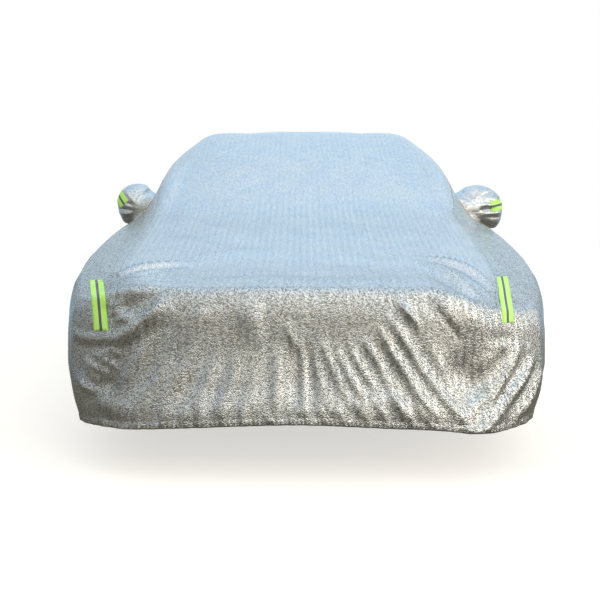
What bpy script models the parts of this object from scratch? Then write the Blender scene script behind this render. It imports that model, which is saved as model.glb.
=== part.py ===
"""Fitted outdoor cover of thin metallised film cloth, in the shape that it is draped to.

A centre panel runs from the front hem over the nose, the front slope, the top and the tail to the rear hem. A
side panel is sewn to it along each side, each with a sewn mirror pouch. Reflective tapes lie on the front
corners and on the pouches. The cover is a hollow shell that is open underneath.

Metres, +Z up, the nose towards -Y. Below, s is the distance behind the nose and z the height above the floor.
The origin is on the inside of the cloth, under the middle of the top.
"""

import bmesh
import bpy
import numpy as np
from mathutils import Vector
from mathutils.bvhtree import BVHTree

# Overall sizes
ORIGIN_S = 2.75  # the origin, behind the nose
ORIGIN_Z = 1.4704  # the origin, above the floor
CLOTH = 0.0015  # thickness of the sheet
SEAM_HALF = 0.00045  # half the gap between two panels at their seam
TAPE_GAP = 0.0004  # gap between a tape and the cloth under it
TAPE = 0.0010  # thickness of a tape

# Mesh divisions
HALF_COLUMNS = {"centre_to_rail": 10, "rail_to_seam": 3, "seam_to_belt": 2, "belt_to_edge": 2}
ROWS = [  # from s, to s, number of rows
    (0.05, 1.22, 15),
    (1.22, 1.54, 3),
    (1.54, 1.80, 3),
    (1.80, 2.10, 3),
    (2.10, 3.35, 6),
    (3.35, 4.70, 9),
]

# Cross-sections: s, then height at the centre, and x and height at the rail, the seam, the belt and the edge
SECTIONS = [
    # s     centre  rail x  rail z  seam x  seam z  belt x  belt z  edge x  edge z
    (0.00, 0.646, 0.550, 0.626, 0.625, 0.594, 0.690, 0.566, 0.730, 0.550),
    (0.12, 0.686, 0.565, 0.668, 0.655, 0.638, 0.722, 0.612, 0.768, 0.596),
    (0.25, 0.709, 0.580, 0.692, 0.685, 0.665, 0.752, 0.645, 0.808, 0.626),
    (0.40, 0.735, 0.600, 0.717, 0.712, 0.697, 0.784, 0.680, 0.856, 0.658),
    (0.60, 0.788, 0.605, 0.770, 0.722, 0.754, 0.802, 0.738, 0.893, 0.714),
    (0.85, 0.858, 0.605, 0.838, 0.722, 0.822, 0.804, 0.804, 0.896, 0.778),
    (1.05, 0.912, 0.605, 0.892, 0.722, 0.874, 0.802, 0.852, 0.892, 0.824),
    (1.22, 0.972, 0.610, 0.946, 0.722, 0.922, 0.798, 0.890, 0.890, 0.856),
    (1.50, 1.130, 0.615, 1.102, 0.735, 1.074, 0.808, 0.958, 0.892, 0.896),
    (1.75, 1.272, 0.618, 1.234, 0.740, 1.158, 0.810, 0.970, 0.890, 0.904),
    (1.95, 1.358, 0.612, 1.320, 0.738, 1.190, 0.808, 0.972, 0.890, 0.908),
    (2.15, 1.424, 0.604, 1.383, 0.732, 1.202, 0.806, 0.972, 0.890, 0.910),
    (2.45, 1.467, 0.598, 1.412, 0.728, 1.208, 0.805, 0.972, 0.890, 0.912),
    (2.80, 1.478, 0.590, 1.414, 0.725, 1.208, 0.803, 0.974, 0.890, 0.916),
    (3.20, 1.454, 0.580, 1.392, 0.722, 1.198, 0.799, 0.978, 0.890, 0.924),
    (3.50, 1.382, 0.574, 1.326, 0.716, 1.172, 0.792, 0.984, 0.888, 0.932),
    (3.80, 1.245, 0.568, 1.207, 0.710, 1.118, 0.784, 0.992, 0.885, 0.940),
    (4.05, 1.128, 0.568, 1.102, 0.704, 1.062, 0.774, 1.002, 0.878, 0.946),
    (4.30, 1.062, 0.562, 1.046, 0.695, 1.026, 0.758, 1.000, 0.862, 0.948),
    (4.55, 1.036, 0.550, 1.020, 0.672, 1.000, 0.730, 0.974, 0.822, 0.934),
    (4.75, 0.985, 0.535, 0.970, 0.645, 0.952, 0.695, 0.930, 0.760, 0.895),
]
FRONT_BOW = 0.20  # how much further back the edge lies at the front corners than at the nose
REAR_BOW = 0.20  # the same at the rear corners, further forward
BOW_LENGTH = 0.90
CROWN = 0.18  # share of the fall from centre to rail that lies inside half its width

# Skirt from the edge to the hem: share of the drop, how far outside the edge, and the same across the front,
# where the cloth turns down more sharply and then stands out towards the hem
SKIRT = [
    (0.06, 0.020, 0.019),
    (0.15, 0.034, 0.021),
    (0.30, 0.042, 0.025),
    (0.48, 0.046, 0.032),
    (0.66, 0.046, 0.042),
    (0.83, 0.038, 0.052),
    (0.93, 0.030, 0.058),
    (1.00, 0.020, 0.060),
]

# Height of the front hem from side to side, x and z, and its mean along the sides and rear
FRONT_HEM = [
    (-0.80, 0.170),
    (-0.65, 0.179),
    (-0.40, 0.198),
    (0.00, 0.211),
    (0.25, 0.199),
    (0.45, 0.184),
    (0.54, 0.166),
    (0.72, 0.160),
    (0.82, 0.172),
]
SIDE_HEM_Z = 0.195


def smooth(knots, values, at):
    """Values between the knots on a smooth curve that passes through each of them."""
    knots = np.asarray(knots, float)
    values = np.asarray(values, float)
    slopes = np.gradient(values, knots)
    at = np.clip(at, knots[0], knots[-1])
    i = np.clip(np.searchsorted(knots, at, side="right") - 1, 0, len(knots) - 2)
    step = knots[i + 1] - knots[i]
    t = (at - knots[i]) / step
    a = (2 * t**3 - 3 * t**2 + 1) * values[i] + (t**3 - 2 * t**2 + t) * step * slopes[i]
    b = (3 * t**2 - 2 * t**3) * values[i + 1] + (t**3 - t**2) * step * slopes[i + 1]
    return a + b


def fade(value, start, end):
    """0 at start, 1 at end, with soft ends."""
    t = np.clip((value - start) / (end - start), 0.0, 1.0)
    return t * t * (3.0 - 2.0 * t)


SECTION_S = [row[0] for row in SECTIONS]
KNOTS = [-1.0, -0.9, -0.8, -0.6, -0.3, 0.0, 0.3, 0.6, 0.8, 0.9, 1.0]  # edge, belt, seam, rail, crown, centre
SEAM_KNOT = 0.8


def section(s, u):
    """Point of the top at s, u from -1 at the left edge to 1 at the right edge, as x and z."""
    column = [smooth(SECTION_S, [row[k] for row in SECTIONS], s) for k in range(1, 10)]
    centre, rail_x, rail_z, seam_x, seam_z, belt_x, belt_z, edge_x, edge_z = column
    crown_x, crown_z = 0.5 * rail_x, centre + CROWN * (rail_z - centre)
    half_x = [crown_x, rail_x, seam_x, belt_x, edge_x]
    half_z = [crown_z, rail_z, seam_z, belt_z, edge_z]
    xs = np.stack([-x for x in reversed(half_x)] + [0 * s] + half_x)
    zs = np.stack(half_z[::-1] + [centre] + half_z)
    x = np.array([smooth(KNOTS, xs[:, n], u[n]) for n in range(len(s))])
    z = np.array([smooth(KNOTS, zs[:, n], u[n]) for n in range(len(s))])
    return x, z


def columns():
    """Column positions u from the left edge to the right edge."""
    stops = [0.0, 0.6, 0.8, 0.9, 1.0]
    half = [0.0]
    for start, end, count in zip(stops, stops[1:], HALF_COLUMNS.values()):
        half += [start + (end - start) * (k + 1) / count for k in range(count)]
    return np.array([-u for u in reversed(half[1:])] + half)


def rows():
    """Row positions s from the front edge to the rear edge."""
    found = [ROWS[0][0]]
    for start, end, count in ROWS:
        found += [start + (end - start) * (k + 1) / count for k in range(count)]
    return np.array(found)


def top_grid(u, s):
    """Points of the top, an array of rows by columns by (x, s, z)."""
    reach = np.interp(np.abs(u), [0.0, 0.6, 0.8, 0.9, 1.0], [0.0, 0.67, 0.81, 0.90, 1.0]) ** 4
    front = np.clip(1 - (s - s[0]) / BOW_LENGTH, 0, 1)
    rear = np.clip(1 - (s[-1] - s) / BOW_LENGTH, 0, 1)
    place = s[:, None] + reach * (FRONT_BOW * front - REAR_BOW * rear)[:, None]
    flat_s = place.ravel()
    x, z = section(flat_s, np.tile(u, len(s)))
    return np.stack([x, flat_s, z], axis=1).reshape(len(s), len(u), 3)


def hem_height(x, s):
    """Height of the hem above the floor."""
    front = smooth([p[0] for p in FRONT_HEM], [p[1] for p in FRONT_HEM], x)
    side = SIDE_HEM_Z + 0.012 * np.sin(s * 3.1 + 0.8 * np.sign(x)) + 0.006 * np.sin(s * 8.3)
    share = fade(s, 0.25, 0.60)
    return front * (1 - share) + side * share


def cover_surface(u, s):
    """The whole cover as points, the faces as rows of four, and the index grids of the top and the skirt."""
    top = top_grid(u, s)
    row_count, column_count = top.shape[:2]
    grid = np.arange(row_count * column_count).reshape(row_count, column_count)
    loop = np.concatenate([grid[0, :-1], grid[:-1, -1], grid[-1, :0:-1], grid[:0:-1, 0]])
    points = top.reshape(-1, 3)
    rim = points[loop]
    ahead = np.roll(rim, -1, axis=0) - np.roll(rim, 1, axis=0)
    out = np.stack([ahead[:, 1], -ahead[:, 0]], axis=1)
    out /= np.linalg.norm(out, axis=1)[:, None]
    out = (np.roll(out, 1, axis=0) + 2 * out + np.roll(out, -1, axis=0)) / 4
    hem = hem_height(rim[:, 0], rim[:, 1])
    near_front = 1 - fade(rim[:, 1], 0.16, 0.34)
    skirt = []
    for share, reach, front_reach in SKIRT:
        ring = rim.copy()
        ring[:, :2] += out * (reach + (front_reach - reach) * near_front)[:, None]
        ring[:, 2] += (hem - rim[:, 2]) * share
        skirt.append(ring)
    points = np.concatenate([points] + skirt)
    rings = [loop] + [len(grid.ravel()) + k * len(loop) + np.arange(len(loop)) for k in range(len(skirt))]
    rings = np.array(rings)
    faces = []
    for r in range(row_count - 1):
        for c in range(column_count - 1):
            faces.append((grid[r, c], grid[r, c + 1], grid[r + 1, c + 1], grid[r + 1, c]))
    for k in range(len(rings) - 1):
        for p in range(len(loop)):
            q = (p + 1) % len(loop)
            faces.append((rings[k, p], rings[k + 1, p], rings[k + 1, q], rings[k, q]))
    return points, faces, grid, rings


# Folds: name, three points along each, its half width, and how far it stands out (or in, below zero).
# On the front a point is x and z, seen from ahead; on the top x and s, seen from above; on a side s and z.
FOLDS = {
    "front": [
        ("right shelf edge", 0.42, 0.62, 0.50, 0.565, 0.67, 0.542, 0.036, 0.026),
        ("right shelf crease", 0.41, 0.64, 0.43, 0.57, 0.46, 0.52, 0.030, -0.012),
        ("right hollow", 0.46, 0.53, 0.55, 0.44, 0.58, 0.32, 0.078, -0.032),
        ("right diagonal inner", 0.19, 0.49, 0.27, 0.35, 0.34, 0.22, 0.030, 0.011),
        ("right diagonal middle", 0.25, 0.52, 0.34, 0.375, 0.44, 0.23, 0.034, 0.017),
        ("right diagonal outer", 0.31, 0.52, 0.39, 0.385, 0.53, 0.22, 0.034, 0.016),
        ("right set ridge", 0.75, 0.46, 0.68, 0.36, 0.62, 0.27, 0.034, 0.012),
        ("right set outer ridge", 0.80, 0.41, 0.74, 0.33, 0.60, 0.19, 0.034, 0.014),
        ("right low hollow", 0.61, 0.27, 0.58, 0.23, 0.55, 0.20, 0.034, -0.013),
        ("left lip", -0.84, 0.49, -0.68, 0.485, -0.56, 0.55, 0.032, 0.020),
        ("left lip end", -0.56, 0.54, -0.51, 0.59, -0.47, 0.63, 0.034, 0.013),
        ("left lip underside", -0.82, 0.445, -0.64, 0.445, -0.48, 0.56, 0.034, -0.014),
        ("left corner facet", -0.67, 0.58, -0.61, 0.59, -0.55, 0.62, 0.045, -0.015),
        ("left soft ridge", -0.37, 0.48, -0.42, 0.38, -0.49, 0.28, 0.040, 0.011),
        ("left soft valley", -0.44, 0.47, -0.51, 0.36, -0.58, 0.25, 0.040, -0.010),
        ("middle band", -0.19, 0.63, -0.17, 0.50, -0.18, 0.32, 0.040, 0.011),
        ("middle valley", -0.03, 0.47, -0.03, 0.38, -0.03, 0.28, 0.036, -0.008),
    ],
    "top": [
        ("front slope fan left", -0.43, 1.54, -0.29, 1.69, -0.09, 1.88, 0.055, 0.010),
        ("front slope fan low", -0.35, 1.39, -0.16, 1.55, 0.07, 1.73, 0.055, -0.007),
        ("front slope fan right", 0.29, 1.82, 0.40, 1.59, 0.48, 1.36, 0.060, 0.009),
        ("nose drag left", -0.74, 1.27, -0.48, 1.01, -0.28, 0.78, 0.050, 0.009),
        ("nose drag low", -0.70, 1.06, -0.45, 0.80, -0.24, 0.60, 0.050, -0.007),
        ("slope foot valley", 0.69, 1.33, 0.73, 1.24, 0.75, 1.10, 0.050, -0.011),
        ("slope edge pucker", 0.59, 1.89, 0.66, 1.75, 0.71, 1.60, 0.048, 0.010),
        ("nose ripple left", -0.48, 0.46, -0.26, 0.55, -0.02, 0.50, 0.055, 0.007),
        ("nose ripple right", 0.10, 0.57, 0.28, 0.44, 0.49, 0.51, 0.055, 0.007),
        ("top sag", -0.30, 2.60, 0.05, 2.75, 0.32, 3.05, 0.120, -0.007),
        ("rear slope fan left", -0.10, 3.45, -0.30, 3.75, -0.52, 4.05, 0.070, 0.010),
        ("rear slope fan right", 0.12, 3.50, 0.30, 3.80, 0.50, 4.10, 0.070, -0.010),
        ("tail ripple", -0.45, 4.35, 0.00, 4.42, 0.46, 4.33, 0.070, 0.007),
    ],
    "left": [
        ("front low drag", 0.62, 0.66, 0.95, 0.52, 1.30, 0.30, 0.070, -0.018),
        ("front low crown", 0.75, 0.46, 1.00, 0.42, 1.25, 0.22, 0.060, 0.015),
        ("side sag", 1.60, 0.78, 2.20, 0.64, 2.90, 0.74, 0.090, -0.015),
        ("low wave", 1.80, 0.40, 2.10, 0.32, 2.35, 0.22, 0.080, 0.015),
        ("rear low drag", 4.20, 0.70, 3.85, 0.52, 3.45, 0.28, 0.080, -0.018),
        ("shoulder drag", 2.20, 1.22, 2.60, 1.06, 3.10, 1.02, 0.070, -0.013),
    ],
    "right": [
        ("front low drag", 0.66, 0.68, 0.98, 0.50, 1.22, 0.27, 0.070, -0.018),
        ("front low crown", 0.70, 0.42, 0.92, 0.36, 1.10, 0.22, 0.060, 0.015),
        ("side sag", 1.70, 0.74, 2.30, 0.62, 2.80, 0.70, 0.090, -0.015),
        ("low wave", 2.40, 0.42, 2.65, 0.33, 2.95, 0.22, 0.080, 0.017),
        ("rear low drag", 4.15, 0.72, 3.80, 0.56, 3.50, 0.30, 0.080, -0.017),
        ("shoulder drag", 2.00, 1.18, 2.45, 1.04, 2.95, 1.06, 0.070, -0.013),
    ],
    "rear": [
        ("left corner drag", -0.70, 0.78, -0.50, 0.55, -0.36, 0.28, 0.070, -0.018),
        ("right corner drag", 0.66, 0.80, 0.52, 0.56, 0.30, 0.30, 0.070, -0.018),
        ("middle sag", -0.30, 0.62, 0.02, 0.52, 0.34, 0.60, 0.080, 0.014),
    ],
}
VIEWS = {  # where each kind of fold is seen from, and which way
    "front": (lambda a, b: (a, -1.0, b), (0, 1, 0)),
    "top": (lambda a, b: (a, b, 2.5), (0, 0, -1)),
    "left": (lambda a, b: (-2.0, a, b), (1, 0, 0)),
    "right": (lambda a, b: (2.0, a, b), (-1, 0, 0)),
    "rear": (lambda a, b: (a, 6.0, b), (0, -1, 0)),
}

# Mirror pouches, from the cloth outwards: x at the top and at the bottom, middle height, half height, half depth
POUCH_S = 1.67
POUCHES = {
    "left": [
        (0.802, 0.906, 0.985, 0.086, 0.126),
        (0.836, 0.916, 1.000, 0.103, 0.122),
        (0.895, 0.930, 1.003, 0.104, 0.114),
        (0.945, 0.950, 0.998, 0.087, 0.094),
        (0.972, 0.968, 0.998, 0.048, 0.054),
        (0.980, 0.980, 1.000, 0.000, 0.000),
    ],
    "right": [
        (0.806, 0.915, 0.976, 0.093, 0.126),
        (0.845, 0.944, 0.986, 0.107, 0.122),
        (0.910, 0.975, 0.988, 0.112, 0.116),
        (0.970, 1.000, 0.982, 0.098, 0.098),
        (1.012, 1.018, 0.978, 0.060, 0.060),
        (1.029, 1.029, 0.985, 0.000, 0.000),
    ],
}
POUCH_COLUMNS = (0.85, 1.0)  # the opening in the side panel, u from and to
POUCH_ROWS = (1.54, 1.80)  # and s from and to

# Tapes: the cloth each lies on, its middle (x, s, z), the way across it and its width, its long way and length
TAPES = {
    "front_strip_left": ("side_panel_left", (-0.755, 0.28, 0.592), (0.965, 0.26, 0.0), 0.054, (0, 0, 1), 0.165),
    "front_strip_right": ("side_panel_right", (0.721, 0.28, 0.612), (0.989, -0.146, 0.0), 0.046, (0, 0, 1), 0.146),
    "pocket_strip_left": ("mirror_pocket_left", (-0.949, 1.60, 1.027), (0.79, 0, 0.61), 0.056, (0.61, 0, -0.79), 0.074),
    "pocket_strip_right": ("mirror_pocket_right", (0.990, 1.60, 0.993), (-0.22, 0, 0.98), 0.056, (0.98, 0, 0.22), 0.084),
}
TAPE_DEPTH = 0.20  # how far in front of and behind its middle a tape may lie

# Colours as the lit cloth shows them, roughness, metallic
LOOKS = {
    "silver_film": ((0.52, 0.55, 0.57), 0.42, 0.85),
    "reflective_tape": ((0.36, 0.82, 0.10), 0.45, 0.0),
}


def fold_line(points, tree, kind):
    """A fold's line laid on the cover, as a row of points."""
    start, look = VIEWS[kind]
    at = np.linspace(0, 1, 9)
    a = smooth([0.0, 0.5, 1.0], points[0::2], at)
    b = smooth([0.0, 0.5, 1.0], points[1::2], at)
    line = []
    for p, q in zip(a, b):
        origin = Vector(start(float(p), float(q)))
        found = tree.ray_cast(origin, Vector(look))[0]
        if found is None:
            found = tree.find_nearest(origin + 2.4 * Vector(look))[0]
        line.append(found)
    return np.array(line)


def fold_height(points, line, half_width, height):
    """How far a fold moves each point: a soft ridge or trough that fades towards its ends."""
    best = np.full(len(points), 1e9)
    level = np.zeros(len(points))
    for k in range(len(line) - 1):
        step = line[k + 1] - line[k]
        t = np.clip(((points - line[k]) @ step) / max(step @ step, 1e-9), 0, 1)
        gap = np.linalg.norm(points - line[k] - t[:, None] * step, axis=1)
        share = (k + t) / (len(line) - 1)
        nearer = gap < best
        best = np.where(nearer, gap, best)
        level = np.where(nearer, 0.35 + 0.65 * np.sin(np.pi * share), level)
    return height * level * np.exp(-((best / half_width) ** 1.8))


def outward(points, faces):
    """Unit normal at each point, from the faces around it."""
    p = points[np.array(faces)]
    across = np.cross(p[:, 2] - p[:, 0], p[:, 3] - p[:, 1])
    total = np.zeros_like(points)
    for corner in range(4):
        np.add.at(total, np.array(faces)[:, corner], across)
    return total / np.linalg.norm(total, axis=1)[:, None]


def folded(points, faces):
    """The cover's points with every fold of the table laid in."""
    tree = BVHTree.FromPolygons([tuple(p) for p in points], [tuple(int(i) for i in f) for f in faces])
    move = np.zeros(len(points))
    for kind, table in FOLDS.items():
        for name, *values, half_width, height in table:
            move += fold_height(points, fold_line(values, tree, kind), half_width, height)
    return points + outward(points, faces) * move[:, None]


def to_world(points):
    """Points by (x, s, z) as (x, y, z) about the origin."""
    return np.asarray(points) - np.array([0.0, ORIGIN_S, ORIGIN_Z])


def material(name):
    """A plain surface of the named look."""
    if name in bpy.data.materials:
        return bpy.data.materials[name]
    colour, roughness, metallic = LOOKS[name]
    found = bpy.data.materials.new(name)
    found.use_nodes = True
    shader = found.node_tree.nodes["Principled BSDF"]
    shader.inputs["Base Color"].default_value = (*colour, 1.0)
    shader.inputs["Roughness"].default_value = roughness
    shader.inputs["Metallic"].default_value = metallic
    found.diffuse_color = (*colour, 1.0)
    return found


def cloth_object(name, points, faces, look, thickness, offset):
    """An open surface made into a sheet with Solidify."""
    used = sorted({i for face in faces for i in face})
    place = {old: new for new, old in enumerate(used)}
    mesh = bpy.data.meshes.new(name)
    mesh.from_pydata([tuple(points[i]) for i in used], [], [[place[i] for i in face] for face in faces])
    shape = bmesh.new()  # flat triangles, so that a tape laid on the cloth has the same facets
    shape.from_mesh(mesh)
    bmesh.ops.triangulate(shape, faces=shape.faces[:], quad_method="SHORT_EDGE")
    shape.to_mesh(mesh)
    shape.free()
    mesh.materials.append(material(look))
    mesh.shade_smooth()
    made = bpy.data.objects.new(name, mesh)
    parts.objects.link(made)
    sheet = made.modifiers.new("cloth", "SOLIDIFY")
    sheet.thickness = thickness
    sheet.offset = offset
    return made


def drawn_back(points, faces, shared):
    """The points of one panel, its shared edge points moved half a seam's gap into the panel."""
    moved = points.copy()
    pull = {}
    for face in faces:
        middle = points[list(face)].mean(axis=0)
        for i in face:
            if i in shared:
                pull.setdefault(i, []).append(middle - points[i])
    for i, ways in pull.items():
        way = np.mean(ways, axis=0)
        moved[i] += way / np.linalg.norm(way) * SEAM_HALF
    return moved


def pouch(side, points, ring):
    """The pouch as points and faces: rings from its opening to its tip."""
    sign = -1.0 if side == "left" else 1.0
    base = points[ring]
    middle = (base.max(axis=0) + base.min(axis=0)) / 2
    half = (base.max(axis=0) - base.min(axis=0)) / 2
    turn = np.arctan2((base[:, 2] - middle[2]) / half[2], (base[:, 1] - middle[1]) / half[1])
    rings = [base]
    for top_x, bottom_x, centre_z, half_height, half_depth in POUCHES[side]:
        up = np.sin(turn)
        x = (top_x + bottom_x) / 2 + (top_x - bottom_x) / 2 * up
        s = POUCH_S + half_depth * np.cos(turn)
        z = centre_z + half_height * up
        rings.append(np.stack([sign * x, s, z], axis=1))
    tip = rings.pop()[0]
    count = len(ring)
    made = np.concatenate(rings + [tip[None]])
    faces = []
    for k in range(len(rings) - 1):
        for p in range(count):
            q = (p + 1) % count
            faces.append((k * count + p, k * count + q, (k + 1) * count + q, (k + 1) * count + p))
    last = (len(rings) - 1) * count
    for p in range(count):
        faces.append((last + p, last + (p + 1) % count, len(made) - 1))
    inner = {p for p in range(count)}
    return drawn_back(made, faces, inner), faces


def tape(name, cloth, middle, across, width, along, length):
    """A tape that lies on the facets of its cloth, cut out by three pairs of planes."""
    middle = Vector(to_world(middle))
    across, along = Vector(across).normalized(), Vector(along).normalized()
    shape = bmesh.new()
    shape.from_mesh(bpy.data.objects[cloth].data)
    for way, half in ((across, width / 2), (along, length / 2), (across.cross(along), TAPE_DEPTH)):
        for sign in (1.0, -1.0):
            whole = shape.verts[:] + shape.edges[:] + shape.faces[:]
            point = middle + way * half * sign
            bmesh.ops.bisect_plane(shape, geom=whole, plane_co=point, plane_no=way * sign, clear_outer=True)
    shape.normal_update()
    lift = {v: v.normal * TAPE_GAP * v.calc_shell_factor() for v in shape.verts}
    for v, step in lift.items():
        v.co += step
    mesh = bpy.data.meshes.new(name)
    shape.to_mesh(mesh)
    shape.free()
    mesh.materials.append(material("reflective_tape"))
    mesh.shade_smooth()
    made = bpy.data.objects.new(name, mesh)
    parts.objects.link(made)
    sheet = made.modifiers.new("tape", "SOLIDIFY")
    sheet.thickness = TAPE
    sheet.offset = 1.0
    sheet.use_even_offset = True
    return made


# The pieces
for old in list(bpy.data.objects):
    bpy.data.objects.remove(old, do_unlink=True)

parts = bpy.data.collections.new("car_cover")
bpy.context.scene.collection.children.link(parts)

u_columns = columns()
s_rows = rows()
surface, quads, top_index, skirt_index = cover_surface(u_columns, s_rows)
surface = folded(surface, quads)

# Share the faces out between the panels and the two openings for the pouches
seam_left = int(np.argmin(np.abs(u_columns + SEAM_KNOT)))
seam_right = int(np.argmin(np.abs(u_columns - SEAM_KNOT)))
front_columns = len(u_columns) - 1
panel_faces = {"centre_panel": [], "side_panel_left": [], "side_panel_right": []}
openings = {"left": [], "right": []}
face_number = 0
for r in range(len(s_rows) - 1):
    for c in range(front_columns):
        face = quads[face_number]
        face_number += 1
        u_mid = (u_columns[c] + u_columns[c + 1]) / 2
        s_mid = (s_rows[r] + s_rows[r + 1]) / 2
        in_rows = POUCH_ROWS[0] < s_mid < POUCH_ROWS[1]
        if in_rows and POUCH_COLUMNS[0] < abs(u_mid) < POUCH_COLUMNS[1]:
            openings["left" if u_mid < 0 else "right"].append(face)
        elif seam_left <= c < seam_right:
            panel_faces["centre_panel"].append(face)
        else:
            panel_faces["side_panel_left" if c < seam_left else "side_panel_right"].append(face)
row_count = len(s_rows) - 1
rear_start = front_columns + row_count
for k in range(len(skirt_index) - 1):
    for p in range(skirt_index.shape[1]):
        face = quads[face_number]
        face_number += 1
        in_front = seam_left <= p < seam_right
        in_rear = front_columns - seam_right <= p - rear_start < front_columns - seam_left
        if in_front or in_rear:
            panel_faces["centre_panel"].append(face)
        elif seam_right <= p < rear_start + front_columns - seam_right:
            panel_faces["side_panel_right"].append(face)
        else:
            panel_faces["side_panel_left"].append(face)

owners = {}
for name, faces in list(panel_faces.items()) + list(openings.items()):
    for face in faces:
        for i in face:
            owners.setdefault(i, set()).add(name)
shared_points = {i for i, names in owners.items() if len(names) > 1}

for name, faces in panel_faces.items():
    points = to_world(drawn_back(surface, faces, shared_points))
    cloth_object(name, points, faces, "silver_film", CLOTH, -1.0)

for side, faces in openings.items():
    edges = {}
    for face in faces:
        for i, j in zip(face, face[1:] + face[:1]):
            edges[(i, j)] = True
    rim = {i: j for i, j in edges if (j, i) not in edges}
    ring = [next(iter(rim))]
    while rim[ring[-1]] != ring[0]:
        ring.append(rim[ring[-1]])
    points, faces = pouch(side, surface, ring)
    cloth_object("mirror_pocket_" + side, to_world(points), faces, "silver_film", CLOTH, -1.0)

for name, (cloth, middle, across, width, along, length) in TAPES.items():
    tape(name, cloth, middle, across, width, along, length)
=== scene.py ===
import math

import bmesh
import bpy
import numpy as np
from mathutils import Matrix, Vector, noise
from mathutils.bvhtree import BVHTree


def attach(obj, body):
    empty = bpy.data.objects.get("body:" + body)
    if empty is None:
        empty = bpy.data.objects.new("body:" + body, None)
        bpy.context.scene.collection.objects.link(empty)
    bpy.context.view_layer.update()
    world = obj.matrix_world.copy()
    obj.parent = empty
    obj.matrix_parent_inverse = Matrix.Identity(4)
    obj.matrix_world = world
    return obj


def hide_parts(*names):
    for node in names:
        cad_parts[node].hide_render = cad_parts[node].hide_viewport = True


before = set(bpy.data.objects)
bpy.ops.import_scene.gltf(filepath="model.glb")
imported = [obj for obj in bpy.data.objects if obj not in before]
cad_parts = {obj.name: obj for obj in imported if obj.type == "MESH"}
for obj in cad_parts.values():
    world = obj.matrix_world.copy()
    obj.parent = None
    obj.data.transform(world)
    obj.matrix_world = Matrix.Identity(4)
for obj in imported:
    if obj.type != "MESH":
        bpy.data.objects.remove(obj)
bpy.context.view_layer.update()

bpy.ops.object.select_all(action="DESELECT")

# -----------------------------------------------------------------------------------------------------
# Studio. The camera stands 2.8 m in front of the nose and 0.84 m above the floor, as for the photograph.
# A pale floor lies under the hem. Light comes softly from all round: grey from the level of the horizon,
# pale blue from higher up and white from overhead.
FLOOR_Z = -1.4704
FLOOR_RADIUS = 40.0
CAMERA_PLACE = (-0.0148, -5.522, -0.6274)
CAMERA_TURN = (math.radians(90.0 - 4.444), 0.0, math.radians(0.16))
CAMERA_LENS = 50.56
SENSOR_WIDTH = 36.0
BACKDROP_WHITE = "#FFFFFF"
FLOOR_PALE = "#F4F3F1"
FLOOR_GLOW = 0.68
FLOOR_SHADED = "#C9C1B6"  # the part of the floor's colour that takes shadows
GROUND_TONE = "#847B6C"  # the floor as the front mirrors it
GROUND_BEHIND = "#BCD4E6"  # and as the top mirrors it, from this far behind the middle
GROUND_REACH = 4.0
SKY_STOPS = [  # height of the sky from straight down (0) to straight up (1), and its colour
    (0.00, "#66635B"), (0.42, "#706D65"), (0.50, "#7F7C76"), (0.53, "#94918A"),
    (0.57, "#B1AEA6"), (0.64, "#D4D2CB"), (0.73, "#DFDFDA"), (0.82, "#D3E4F0"),
    (0.88, "#C8E4FC"), (0.95, "#E9F2FA"), (1.00, "#FFFFFF"),
]
SKY_BEHIND = "#CBE7FF"  # what the middle of the top mirrors low behind it
SIDE_STOPS = [  # and what its edges mirror to both sides of that, by height
    (0.44, "#545E66"), (0.52, "#8A9BA8"), (0.60, "#C6DAEA"), (0.72, "#D2E8FA"), (1.00, "#B8DCFF"),
]
BEHIND_REACH = 0.35  # a way's y, from 0, over which the sky turns to these two
BEHIND_SHARE = 0.85  # and how much of them shows then
BEHIND_WIDTH = (0.16, 0.30)  # a way's x where their middle ends, and where their sides begin
SKY_POWER = 1.22
LEFT_SHARE = 0.62  # the far left of the sky has only this share of that power
LEFT_REACH = (-0.9, -0.05)  # and it rises to the whole between these, by a way's x
SOFT_LAMPS = [  # place, turn in degrees, size, power, colour
    ((2.6, -10.0, 1.6), (76.0, 0.0, 14.0), 5.0, 100.0, "#FFF6E6"),
    ((8.0, -5.0, 0.6), (84.0, 0.0, 60.0), 5.0, 215.0, "#FFF9EE"),
    ((4.0, -8.5, 5.6), (52.0, 0.0, 32.0), 4.0, 50.0, "#FFFAF2"),
]


def linear(code):
    """An sRGB hex colour as linear red, green, blue and 1."""
    parts = [int(code[k : k + 2], 16) / 255.0 for k in (1, 3, 5)]
    return tuple(c / 12.92 if c <= 0.04045 else ((c + 0.055) / 1.055) ** 2.4 for c in parts) + (1.0,)


def feed(node, inputs):
    """Gives a node's inputs plain values, or links from sockets or from other nodes' first outputs."""
    for key, value in inputs.items():
        if isinstance(value, bpy.types.Node):
            value = value.outputs[0]
        if isinstance(value, bpy.types.NodeSocket):
            node.id_data.links.new(value, node.inputs[key])
        else:
            node.inputs[key].default_value = value


def add_node(tree, kind, inputs=None, **settings):
    """Adds a node with its settings, and feeds its inputs."""
    node = tree.nodes.new("ShaderNode" + kind)
    for key, value in settings.items():
        setattr(node, key, value)
    feed(node, inputs or {})
    return node


def set_stops(ramp, stops):
    """Gives a colour ramp its stops, by place and hex colour."""
    while len(ramp.elements) > 1:
        ramp.elements.remove(ramp.elements[-1])
    ramp.elements[0].position = stops[0][0]
    ramp.elements[0].color = linear(stops[0][1])
    for place, code in stops[1:]:
        ramp.elements.new(place).color = linear(code)


bpy.ops.object.camera_add(location=CAMERA_PLACE, rotation=CAMERA_TURN)
camera = bpy.context.object
camera.name = "front_camera"
camera.data.lens = CAMERA_LENS
camera.data.sensor_width = SENSOR_WIDTH
bpy.context.scene.camera = camera
bpy.context.scene.view_settings.view_transform = "Standard"

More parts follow.
